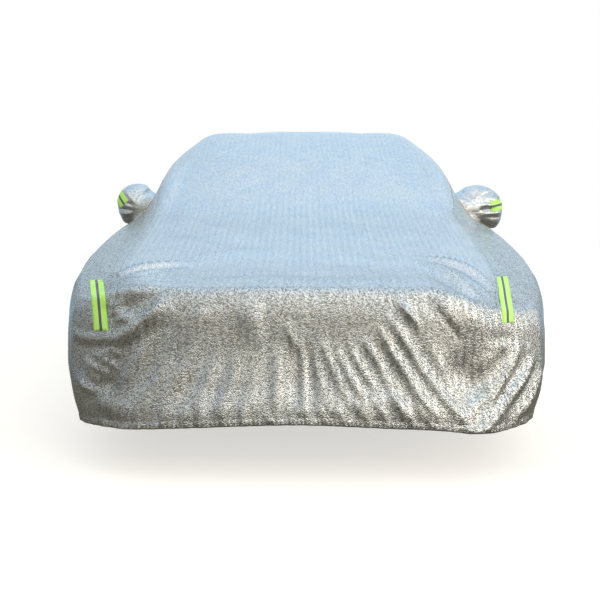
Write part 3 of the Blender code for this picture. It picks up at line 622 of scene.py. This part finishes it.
# How far each point lies below the rim, above the hem, and along the rim. The height above the hem tells
# the film how tight the cloth is, so it is lowered where the top lies looser: over its edges and the nose.
# It also sets how much painted glint and shade the film's bosses show.
below_rim = np.concatenate([np.zeros(top_count)] + levels)
above_hem = np.concatenate([np.full(top_count, TOP_LEVEL)] + [drop - level for level in levels])
above_hem[:top_count] -= EDGE_SLACK * np.tile(fade(np.abs(column_u), *EDGE_REACH), row_count)
above_hem[:top_count] -= NOSE_SLACK * np.repeat(1 - fade(row_s, *NOSE_REACH), column_count)
above_hem[loop] = drop
along_rim = np.concatenate([np.zeros(top_count)] + [rim_along] * len(levels))
along_rim[loop] = rim_along

top_quads = grid_quads(top_index)
next_rings = np.roll(rings, -1, axis=1)
skirt_quads = np.stack([rings[:-1], rings[1:], next_rings[1:], next_rings[:-1]], axis=-1)
quads = np.concatenate([top_quads, skirt_quads.reshape(-1, 4)])

# The cloth's flat map in metres: on the top, across and along; on the skirt, along the rim and down
row_gaps = np.linalg.norm(np.diff(top, axis=1), axis=2)
across_row = np.concatenate([np.zeros((row_count, 1)), np.cumsum(row_gaps, axis=1)], axis=1)
across_row -= across_row[:, [column_count // 2]]
along_middle = np.repeat(along_line(top[:, column_count // 2])[:, None], column_count, axis=1)
top_map = np.stack([across_row, along_middle], axis=-1).reshape(-1, 2)
ring_down = np.array([np.zeros(len(loop))] + levels)
here = np.stack([np.broadcast_to(rim_along, ring_down.shape), -ring_down], axis=-1)
next_along = np.broadcast_to(rim_along + rim_steps, ring_down.shape)
beyond = np.stack([next_along, -np.roll(ring_down, -1, axis=1)], axis=-1)
skirt_map = np.stack([here[:-1], here[1:], beyond[1:], beyond[:-1]], axis=2)
quad_map = np.concatenate([top_map[top_quads], skirt_map.reshape(-1, 4, 2)])

move = folded(base, quads.tolist(), FOLDS)
move += STREAKS * streak_height(base) + CRINKLE * crinkle_height(base) + GATHER * gather_height()
move += CASING_RISE * (1 - fade(above_hem, HEM_CASING - CASING_EDGE, HEM_CASING + CASING_EDGE))
surface = base + outward(base, quads) * move[:, None] - np.array(ORIGIN)

# -----------------------------------------------------------------------------------------------------
# The cloth: a thin polyester weave with an aluminised film bonded to it, rolled with a small pebbled
# emboss. The film mirrors the sky softly, so the top reads pale blue and the front silver, and each boss
# glints; its colour carries painted glints on the bosses and painted shade in the dips between them.
# The inside is the bare weave, a plain pale grey with no film and no shine.
FILM_TONES = [(0.30, "#F1F3F6"), (0.70, "#FFFDF8")]  # cooler and warmer patches
FILM_GLOSS = (0.17, 0.25)  # and how rough each is
FILM_METAL = 0.92
WEAR_SCALE = 9.0  # such patches to a metre
BOSS_PAINTED_SHADE_STOPS = [(0.10, "#F8F9F9"), (0.45, "#EAECEE"), (0.75, "#D2D6DA")]  # painted shade, from a boss's middle to its foot in the dips between bosses
BOSS_PAINTED_GLINT_STOPS = [(0.0, "#A6A299"), (0.5, "#EBE8E2"), (1.0, "#FFFDFA")]  # painted glints and shade, at random from one boss to another
PAINTED_GLINT_SHARE = 0.35  # how much of that painted glint and shade shows where the cloth is tight
EMBOSS_CELL = 0.0039  # the real boss is about 3 mm across; drawn coarser so that it shows
EMBOSS_TURN = 0.6
LOOSE_DENT = -0.0020  # how deep the cloth dips round each boss where it hangs free
TIGHT_DENT = -0.0010  # and where it is pulled tight over the top, which flattens the bosses
EMBOSS_COLUMN = 0.028  # spacing of the columns in which the bosses stand highest
COLUMN_HEIGHTS = (0.80, 0.25)  # the bosses' middle height and how far the columns raise and lower it
TIGHT, LOOSE = 0.88, 0.72  # heights above the hem at which the cloth is quite tight, and quite loose
CREASE_CELL = 0.045  # the small creases that the film keeps from being folded
CREASE_DEPTH = 0.0001
PULL_DEPTH = 0.0040
PULL_GRAIN = (110.0, 20.0, 1.0)  # pulls to a metre, across and along
PULL_END, PULL_LOW, PULL_HIGH = 0.50, 0.68, 0.74  # gone below the first, deepest between the others
GATHER_STEP = 0.014  # the fine gathers of the hem casing
GATHER_SWAY, GATHER_DEPTH = 9.0, 0.0007
GATHER_FULL, GATHER_END = 0.010, 0.026  # they are full below the first and end at the second
BACKING_GREY, BACKING_ROUGHNESS = "#B9BCBD", 0.85
WEAVE_SCALE, WEAVE_DEPTH = 400.0, 0.0004


def new_look(name):
    """A new material, its node tree and its shader."""
    look = bpy.data.materials.new(name)
    look.use_nodes = True
    return look, look.node_tree, look.node_tree.nodes["Principled BSDF"]


film, tree, skin = new_look("embossed_aluminised_film_cloth")
on_cloth = add_node(tree, "TexCoord").outputs["Object"]
flat_map = add_node(tree, "UVMap", uv_map="cloth")
hem_level = add_node(tree, "Attribute", attribute_name="above_hem").outputs["Fac"]
wear = add_node(
    tree, "TexNoise", {"Vector": on_cloth, "Scale": WEAR_SCALE, "Detail": 5.0, "Roughness": 0.6}
)
tone = add_node(tree, "ValToRGB", {0: wear})
set_stops(tone.color_ramp, FILM_TONES)
# each boss is a low dome, highest in the middle of its cell
boss_way = add_node(tree, "Mapping", {"Vector": flat_map, "Rotation": (0.0, 0.0, EMBOSS_TURN)})
bosses = add_node(
    tree,
    "TexVoronoi",
    {"Vector": boss_way, "Scale": 1.0 / EMBOSS_CELL, "Randomness": 1.0},
    feature="F1",
    voronoi_dimensions="2D",
)
boss_height = add_node(tree, "Math", {0: bosses.outputs["Distance"], 1: 2.0}, operation="POWER")
# painted shade: each boss's colour darkens from its middle to its foot, where the dips between bosses lie
boss_painted_shade = add_node(tree, "ValToRGB", {0: bosses.outputs["Distance"]})
set_stops(boss_painted_shade.color_ramp, BOSS_PAINTED_SHADE_STOPS)
tone_with_painted_boss_shade = add_node(tree, "Mix", {0: 1.0, 6: tone, 7: boss_painted_shade}, data_type="RGBA", blend_type="MULTIPLY")
# painted glints and shade: no two bosses lie quite alike, so each is painted a little lighter or darker
# for the light it catches
boss_chance = add_node(tree, "SeparateColor", {0: bosses.outputs["Color"]})
boss_painted_glint = add_node(tree, "ValToRGB", {0: boss_chance})
set_stops(boss_painted_glint.color_ramp, BOSS_PAINTED_GLINT_STOPS)
# the painted glints show fully where the cloth hangs loose, and only in part where it is tight
loose = add_node(
    tree,
    "MapRange",
    {"Value": hem_level, "From Min": TIGHT, "From Max": LOOSE, "To Min": PAINTED_GLINT_SHARE, "To Max": 1.0},
)
film_tone_and_painted_light = add_node(
    tree, "Mix", {0: loose, 6: tone_with_painted_boss_shade.outputs[2], 7: boss_painted_glint}, data_type="RGBA", blend_type="MULTIPLY"
)
gloss = add_node(
    tree,
    "MapRange",
    {"Value": wear, "From Min": 0.3, "From Max": 0.7, "To Min": FILM_GLOSS[0], "To Max": FILM_GLOSS[1]},
)
creases = add_node(
    tree,
    "TexNoise",
    {"Vector": on_cloth, "Scale": 1.0 / CREASE_CELL, "Detail": 4.0, "Roughness": 0.55, "Distortion": 0.6},
)
crease_bump = add_node(tree, "Bump", {"Height": creases, "Strength": 1.0, "Distance": CREASE_DEPTH})
# the embossing roll's bosses stand a little higher in columns that run the length of the cloth
flat_axes = add_node(tree, "SeparateXYZ", {0: flat_map})
column_turn = add_node(
    tree, "Math", {0: flat_axes.outputs["X"], 1: 2 * math.pi / EMBOSS_COLUMN}, operation="MULTIPLY"
)
column_wave = add_node(tree, "Math", {0: column_turn}, operation="SINE")
column_share = add_node(
    tree, "Math", {0: column_wave, 1: COLUMN_HEIGHTS[1], 2: COLUMN_HEIGHTS[0]}, operation="MULTIPLY_ADD"
)
boss_tilt = add_node(
    tree,
    "MapRange",
    {"Value": hem_level, "From Min": LOOSE, "From Max": TIGHT, "To Min": LOOSE_DENT, "To Max": TIGHT_DENT},
)
boss_rise = add_node(tree, "Math", {0: boss_tilt, 1: column_share}, operation="MULTIPLY")
emboss_bump = add_node(
    tree, "Bump", {"Height": boss_height, "Strength": 1.0, "Distance": boss_rise, "Normal": crease_bump}
)
# over the shoulders the cloth lies loose and takes small long crinkles
pull_way = add_node(tree, "Mapping", {"Vector": flat_map, "Scale": PULL_GRAIN})
pulls = add_node(tree, "TexNoise", {"Vector": pull_way, "Scale": 1.0, "Detail": 1.0}, noise_dimensions="2D")
pull_high = add_node(
    tree, "MapRange", {"Value": hem_level, "From Min": TIGHT, "From Max": PULL_HIGH, "To Max": PULL_DEPTH}
)
pull_low = add_node(tree, "MapRange", {"Value": hem_level, "From Min": PULL_END, "From Max": PULL_LOW})
pull_rise = add_node(tree, "Math", {0: pull_high, 1: pull_low}, operation="MULTIPLY")
pull_bump = add_node(
    tree, "Bump", {"Height": pulls, "Strength": 1.0, "Distance": pull_rise, "Normal": emboss_bump}
)
# the turned hem: fine gathers that the elastic draws
gather_turn = add_node(
    tree,
    "Math",
    {0: flat_axes.outputs["X"], 1: 2 * math.pi / GATHER_STEP, 2: wear},
    operation="MULTIPLY_ADD",
)
gather_sway = add_node(tree, "Math", {0: wear, 1: GATHER_SWAY, 2: gather_turn}, operation="MULTIPLY_ADD")
gather_wave = add_node(tree, "Math", {0: gather_sway}, operation="SINE")
gather_reach = add_node(
    tree,
    "MapRange",
    {"Value": hem_level, "From Min": GATHER_FULL, "From Max": GATHER_END, "To Min": 1.0, "To Max": 0.0},
)
gather_lift = add_node(tree, "Math", {0: gather_wave, 1: gather_reach}, operation="MULTIPLY")
gather_bump = add_node(
    tree, "Bump", {"Height": gather_lift, "Strength": 1.0, "Distance": GATHER_DEPTH, "Normal": pull_bump}
)
feed(skin, {"Metallic": FILM_METAL, "Roughness": gloss, "Normal": gather_bump})
feed(skin, {"Base Color": film_tone_and_painted_light.outputs[2]})

backing, tree, under = new_look("woven_polyester_backing")
inside = add_node(tree, "TexCoord").outputs["Object"]
weave = add_node(tree, "TexNoise", {"Vector": inside, "Scale": WEAVE_SCALE, "Detail": 2.0})
weave_bump = add_node(tree, "Bump", {"Height": weave, "Strength": 0.5, "Distance": WEAVE_DEPTH})
feed(under, {"Base Color": linear(BACKING_GREY), "Roughness": BACKING_ROUGHNESS, "Normal": weave_bump})

# -----------------------------------------------------------------------------------------------------
# The three panels: the centre panel runs from the front hem over nose, front slope, top and tail to the
# rear hem, and a side panel is sewn to it along each side. Each is one layer of the cloth with its hem
# turned in.
CLOTH_THICKNESS = 0.0010
SEAM_KNOT = 0.8
POUCH_COLUMNS = (0.85, 1.0)
POUCH_ROWS = (1.54, 1.80)

seam_left = int(np.argmin(np.abs(column_u + SEAM_KNOT)))
seam_right = int(np.argmin(np.abs(column_u - SEAM_KNOT)))
last_column = column_count - 1
middle_u = (column_u[:-1] + column_u[1:]) / 2
middle_s = (row_s[:-1] + row_s[1:]) / 2
column_panel = np.full(last_column, "centre_panel", dtype="U20")
column_panel[:seam_left] = "side_panel_left"
column_panel[seam_right:] = "side_panel_right"
top_panel = np.tile(column_panel, (row_count - 1, 1))
in_rows = (middle_s > POUCH_ROWS[0]) & (middle_s < POUCH_ROWS[1])
for side, way in (("left", -1), ("right", 1)):
    in_columns = (way * middle_u > POUCH_COLUMNS[0]) & (way * middle_u < POUCH_COLUMNS[1])
    top_panel[np.ix_(in_rows, in_columns)] = "opening_" + side
ends_right, ends_left = (np.full(row_count - 1, "side_panel_" + side) for side in ("right", "left"))
rim_panel = np.concatenate([column_panel, ends_right, column_panel[::-1], ends_left])
quad_panel = np.concatenate([top_panel.ravel(), np.tile(rim_panel, len(levels))])


def put_on(mesh, maps, level):
    """Gives a mesh its UV maps, by face corner, and each point's height above the hem."""
    for name, places in maps.items():
        mesh.uv_layers.new(name=name).data.foreach_set("uv", places.astype("f4").ravel())
    mesh.attributes.new("above_hem", "FLOAT", "POINT").data.foreach_set("value", level.astype("f4"))


def thicken(name, mesh, looks, thickness, way):
    """Makes a piece of an open surface, and gives it its thickness inwards (way -1) or outwards (1)."""
    for look in looks:
        mesh.materials.append(look)
    mesh.shade_smooth()
    piece = bpy.data.objects.new(name, mesh)
    bpy.context.scene.collection.objects.link(piece)
    layer = piece.modifiers.new("thickness", "SOLIDIFY")
    layer.thickness = thickness
    layer.offset = way
    layer.material_offset = len(looks) - 1
    bpy.context.view_layer.objects.active = piece
    piece.select_set(True)
    bpy.ops.object.modifier_apply(modifier=layer.name)
    bpy.ops.object.select_all(action="DESELECT")
    return piece


def film_piece(name, points, faces, corner_map, level):
    """One piece of the film cloth, from the points that its faces use: film outside, weave inside."""
    corners = np.concatenate([np.asarray(face) for face in faces])
    used, places = np.unique(corners, return_inverse=True)
    cuts = np.cumsum([len(face) for face in faces])[:-1]
    mesh = bpy.data.meshes.new(name)
    mesh.from_pydata(points[used].tolist(), [], [part.tolist() for part in np.split(places.ravel(), cuts)])
    put_on(mesh, {"cloth": corner_map}, level[used])
    return thicken(name, mesh, [film, backing], CLOTH_THICKNESS, -1.0)


panels, sewn_on = {}, {}
for name in ("centre_panel", "side_panel_left", "side_panel_right"):
    own = quad_panel == name
    panels[name] = film_piece(name + "_cloth", surface, quads[own], quad_map[own], above_hem)
    sewn_on[name] = []
    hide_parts(name)
    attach(panels[name], "root")

# -----------------------------------------------------------------------------------------------------
# The two long seams, where a side panel is sewn to the centre panel: a flat felled seam, so a low double
# layer of the cloth about 9 mm wide, held by two rows of grey polyester thread. Its look is that of the
# film cloth, and only the rows of stitches are added to it.
WELT = [  # across, and up from the cloth
    (-0.0048, 0.0002), (-0.0040, 0.0006), (0.0, 0.0008), (0.0040, 0.0006), (0.0048, 0.0002),
]
WELT_THICKNESS = 0.0006
THREAD_GREY = "#C0C5C9"
STITCH_STEP = 0.012  # a real stitch is about 5 mm; drawn coarser so that it shows
STITCH_GAP, STITCH_ROW = 0.0014, 0.0040
MAP_SHIFT = 5 * STITCH_ROW  # the middle of the seam lies between two rows

seam_look = film.copy()
seam_look.name = "felled_seam_with_polyester_thread"
tree = seam_look.node_tree
seam_skin = tree.nodes["Principled BSDF"]
seam_map = add_node(tree, "UVMap", uv_map="seam")
stitches = add_node(
    tree,
    "TexBrick",
    {
        "Vector": seam_map,
        "Scale": 1.0,
        "Mortar Size": STITCH_GAP,
        "Brick Width": STITCH_STEP,
        "Row Height": STITCH_ROW,
    },
    offset=0.0,
)
# the film's colour with its painted glints and shade, under the stitches
cloth_colour_and_painted_light = seam_skin.inputs["Base Color"].links[0].from_socket
thread_tone = add_node(
    tree, "Mix", {0: stitches.outputs["Fac"], 6: linear(THREAD_GREY), 7: cloth_colour_and_painted_light}, data_type="RGBA"
)
feed(seam_skin, {"Base Color": thread_tone.outputs[2]})

cloth_way = outward(surface, quads)
for side, column in (("left", seam_left), ("right", seam_right)):
    rear_place = last_column + row_count - 1 + (last_column - column)
    path_index = np.concatenate([rings[:0:-1, column], top_index[:, column], rings[1:, rear_place]])
    path_points, path_up = surface[path_index], cloth_way[path_index]
    across = np.cross(np.gradient(path_points, axis=0), path_up)
    across /= np.linalg.norm(across, axis=1)[:, None]
    strip = np.stack([path_points + across * a + path_up * h for a, h in WELT], axis=1)
    count, wide = strip.shape[:2]
    faces = grid_quads(np.arange(count * wide).reshape(count, wide))
    mesh = bpy.data.meshes.new("felled_seam_" + side)
    mesh.from_pydata(strip.reshape(-1, 3).tolist(), [], faces.tolist())
    across_seam = np.tile([a + MAP_SHIFT for a, _ in WELT], count)
    place = np.stack([np.repeat(along_line(path_points), wide), across_seam], axis=1)[faces]
    put_on(mesh, {"seam": place, "cloth": place[..., ::-1]}, np.repeat(above_hem[path_index], wide))
    seam = thicken("felled_seam_" + side, mesh, [seam_look], WELT_THICKNESS, -1.0)
    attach(seam, "root")
    sewn_on["side_panel_" + side].append(seam)

# -----------------------------------------------------------------------------------------------------
# The mirror pockets: a pouch sewn into each side panel, of the same cloth. It is closed round the outer
# end, drawn in at its mouth, and hangs a little uneven, with pleats that run out from the mouth.
POUCH_S = 1.67
POUCHES = {  # millimetres, from the cloth out: top x, bottom x, middle z, half height, half depth
    "left": [
        (802, 906, 985, 86, 126),
        (836, 916, 1000, 103, 122),
        (895, 930, 1003, 104, 114),
        (945, 950, 998, 87, 94),
        (972, 968, 998, 48, 54),
        (980, 980, 1000, 0, 0),
    ],
    "right": [
        (806, 915, 976, 93, 126),
        (845, 944, 986, 107, 122),
        (910, 975, 988, 112, 116),
        (970, 1000, 982, 98, 98),
        (1012, 1018, 978, 60, 60),
        (1029, 1029, 985, 0, 0),
    ],
}
POUCH_FOLDS = {  # as the folds of the front
    "left": [
        # the sewn ridge with its crease
        (-93.5, 107.5, -90.5, 104, -86.5, 99, 8, 8, 1.4),
        (-92.5, 105.5, -89.5, 102, -86, 98.5, 6, -6, 1.4),
        # the top pleat with its crease
        (-81.5, 109, -83.5, 106, -85.5, 102, 7, 6, 1.4), (-83, 109, -84.8, 106, -86.6, 102, 6, -5, 1.4),
        # low pleats and the roll between them
        (-92.5, 101, -90, 100, -88, 99, 8, -7, 1.4), (-96.5, 97.5, -92, 97, -88, 96.5, 8, -9, 1.4),
        (-96.5, 95.5, -92, 95, -89, 95.5, 8, 7, 1.4), (-95.5, 93.5, -92.5, 92.5, -90, 93, 8, -5, 1.4),
    ],
    "right": [
        # the sewn ridge with its crease
        (87.5, 103, 91, 106, 95.5, 107.5, 8, 8, 1.4), (88.5, 102, 91.5, 104.7, 96, 106, 6, -6, 1.4),
        # the top pleat with its crease
        (95.5, 102, 98.5, 103, 100.5, 104.5, 7, 6, 1.4), (95, 103.2, 98, 104.5, 99.5, 106, 6, -5, 1.4),
        # the side pleat with its ridge
        (90, 100.5, 94, 101.2, 97, 101, 9, -6, 1.4), (89, 99, 92, 99.5, 95.5, 99.5, 8, 6, 1.4),
        # the low fold, and the roll and pleat below it
        (89.5, 96.5, 92.5, 96.8, 96.5, 97.2, 8, -15, 1.4), (92, 94.8, 96.5, 95.2, 101, 95.5, 8, 8, 1.4),
        (93, 93, 97, 92.8, 101, 93.5, 8, -6, 1.4),
    ],
}
POUCH_RINGS = 34
POUCH_CROWDING = 0.85  # below 1 the rings lie closer together towards the tip
MOUTH_PARTS = 4  # points of the mouth for each point of the opening
POUCH_STEP = 0.0055  # about the distance between its points, for the flat map
POUCH_CRINKLE, CRINKLE_SCALE = 0.0016, 30.0
POUCH_LEVEL = 0.86  # its cloth is nearly as tight as the top's, so its bosses show little painted glint and shade


def pouch_surface(side, mouth):
    """A pouch as points by (x, s, z) and faces: rings from its mouth to its tip."""
    sign = -1.0 if side == "left" else 1.0
    middle = (mouth.max(axis=0) + mouth.min(axis=0)) / 2
    half = (mouth.max(axis=0) - mouth.min(axis=0)) / 2
    turn = np.arctan2((mouth[:, 2] - middle[2]) / half[2], (mouth[:, 1] - middle[1]) / half[1])
    up = np.sin(turn)
    table = np.array(POUCHES[side]) / 1000
    coarse = []
    for top_x, bottom_x, centre_z, half_height, half_depth in table[:-1]:
        x = (top_x + bottom_x) / 2 + (top_x - bottom_x) / 2 * up
        s, z = POUCH_S + half_depth * np.cos(turn), centre_z + half_height * up
        coarse.append(np.stack([sign * x, s, z], axis=1))
    tip = np.tile([sign * table[-1, 0], POUCH_S, table[-1, 2]], (len(mouth), 1))
    coarse = np.array([mouth] + coarse + [tip])
    knots = np.arange(len(coarse), dtype=float)
    at = np.linspace(0.0, 1.0, POUCH_RINGS) ** POUCH_CROWDING * knots[-1]
    weights = np.array([smooth(knots, unit, at) for unit in np.eye(len(knots))])
    fine = np.einsum("kr,kpc->rpc", weights, coarse)
    points = np.concatenate([fine[:-1].reshape(-1, 3), fine[-1, :1]])
    index = np.arange((POUCH_RINGS - 1) * len(mouth)).reshape(POUCH_RINGS - 1, len(mouth))
    ahead = np.roll(index, -1, axis=1)
    walls = np.stack([index[:-1], ahead[:-1], ahead[1:], index[1:]], axis=-1).reshape(-1, 4)
    ends = [[int(a), int(b), len(points) - 1] for a, b in zip(index[-1], ahead[-1])]
    return points, walls, ends


for side in ("left", "right"):
    name = "mirror_pocket_" + side
    gaps = quads[quad_panel == "opening_" + side].tolist()
    edges = {(i, j) for face in gaps for i, j in zip(face, face[1:] + face[:1])}
    rim_next = {i: j for i, j in edges if (j, i) not in edges}
    ring = [min(rim_next)]
    while rim_next[ring[-1]] != ring[0]:
        ring.append(rim_next[ring[-1]])
    mouth = surface[ring] + np.array(ORIGIN)
    ahead = np.roll(mouth, -1, axis=0)
    shares = [k / MOUTH_PARTS for k in range(MOUTH_PARTS)]
    mouth = np.stack([mouth * (1 - share) + ahead * share for share in shares], axis=1).reshape(-1, 3)
    points, walls, ends = pouch_surface(side, mouth)
    pouch_faces = walls.tolist() + ends
    lift = folded(points, pouch_faces, {"front": POUCH_FOLDS[side]})
    lift += POUCH_CRINKLE * np.array([noise.noise(Vector(p) * CRINKLE_SCALE) for p in points])
    lift[: len(mouth)] = 0.0
    points = points + outward(points, walls) * lift[:, None] - np.array(ORIGIN)
    number = np.arange(len(points))
    flat = np.stack([number % len(mouth), number // len(mouth)], axis=1) * POUCH_STEP
    corner_map = np.concatenate([flat[face] for face in pouch_faces])
    level = np.full(len(points), POUCH_LEVEL)
    panels[name] = film_piece(name + "_cloth", points, pouch_faces, corner_map, level)
    sewn_on[name] = []
    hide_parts(name)
    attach(panels[name], "root")

# -----------------------------------------------------------------------------------------------------
# The reflective tapes: woven tape with two fluorescent yellow-green bands and a silver-grey band of glass
# beads between them, sewn flat on the front corners and on the mirror pockets.
TAPES = {  # the cloth each lies on, its middle (x, s, z), the way across it, width, its long way, length
    "front_strip_left": (
        "side_panel_left", (-0.756, 0.28, 0.592), (0.965, 0.25, 0.06), 0.047, (-0.06, 0, 1), 0.165
    ),
    "front_strip_right": (
        "side_panel_right", (0.717, 0.28, 0.612), (0.989, -0.146, 0.0), 0.044, (0, 0, 1), 0.146
    ),
    "pocket_strip_left": (
        "mirror_pocket_left", (-0.949, 1.60, 1.027), (0.79, 0, 0.61), 0.056, (0.61, 0, -0.79), 0.074
    ),
    "pocket_strip_right": (
        "mirror_pocket_right", (0.990, 1.60, 0.993), (-0.22, 0, 0.98), 0.056, (0.98, 0, 0.22), 0.084
    ),
}
TAPE_DEPTH = 0.20  # the tape is cut from the cloth's shape within this of its middle
TAPE_GAP = 0.0006
TAPE_THICKNESS = 0.0008
TAPE_STOPS = [  # across the tape: its turned edge, a bright band, the grey band, and the same again
    (0.00, "#9BD866"), (0.03, "#C2F570"), (0.38, "#CBF77E"), (0.41, "#7F877C"), (0.44, "#565F55"),
    (0.56, "#5E675C"), (0.59, "#7F877C"), (0.62, "#CBF77E"), (0.97, "#C2F570"), (1.00, "#9BD866"),
]
TAPE_GLOW = 0.16  # painted glow in the tape's own colour, for the light a fluorescent dye gives back beyond what falls on it
TAPE_ROUGHNESS = 0.42
RIB_SCALE, RIB_DEPTH = 40.0, 0.0004

tape_look, tree, band = new_look("woven_reflective_tape")
tape_uv = add_node(tree, "UVMap", uv_map="tape")
tape_axes = add_node(tree, "SeparateXYZ", {0: tape_uv})
tape_ramp = add_node(tree, "ValToRGB", {0: tape_axes.outputs["X"]})
set_stops(tape_ramp.color_ramp, TAPE_STOPS)
tape_rib = add_node(
    tree, "TexWave", {"Vector": tape_uv, "Scale": RIB_SCALE, "Distortion": 1.0}, bands_direction="Y"
)
rib_height = tape_rib.outputs["Fac"]
tape_bump = add_node(tree, "Bump", {"Height": rib_height, "Strength": 0.4, "Distance": RIB_DEPTH})
feed(band, {"Base Color": tape_ramp, "Emission Color": tape_ramp, "Emission Strength": TAPE_GLOW})
feed(band, {"Roughness": TAPE_ROUGHNESS, "Normal": tape_bump})

for name, (cloth, middle, across, width, along, length) in TAPES.items():
    middle = Vector(middle) - Vector(ORIGIN)
    across, along = Vector(across).normalized(), Vector(along).normalized()
    shape = bmesh.new()
    shape.from_mesh(panels[cloth].data)
    inner = [face for face in shape.faces if face.material_index == 1]
    bmesh.ops.delete(shape, geom=inner, context="FACES")
    for way, half in ((across, width / 2), (along, length / 2), (across.cross(along), TAPE_DEPTH)):
        for sign in (1.0, -1.0):
            whole = shape.verts[:] + shape.edges[:] + shape.faces[:]
            point = middle + way * half * sign
            bmesh.ops.bisect_plane(shape, geom=whole, plane_co=point, plane_no=way * sign, clear_outer=True)
    shape.normal_update()
    for v in shape.verts:
        v.co += v.normal * TAPE_GAP
    layer = shape.loops.layers.uv.new("tape")
    for face in shape.faces:
        face.material_index = 0
        for corner in face.loops:
            offset = corner.vert.co - middle
            corner[layer].uv = (offset.dot(across) / width + 0.5, offset.dot(along) / length + 0.5)
    mesh = bpy.data.meshes.new(name + "_tape")
    shape.to_mesh(mesh)
    shape.free()
    tape = thicken(name + "_tape", mesh, [tape_look], TAPE_THICKNESS, 1.0)
    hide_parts(name)
    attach(tape, "root")
    sewn_on[cloth].append(tape)
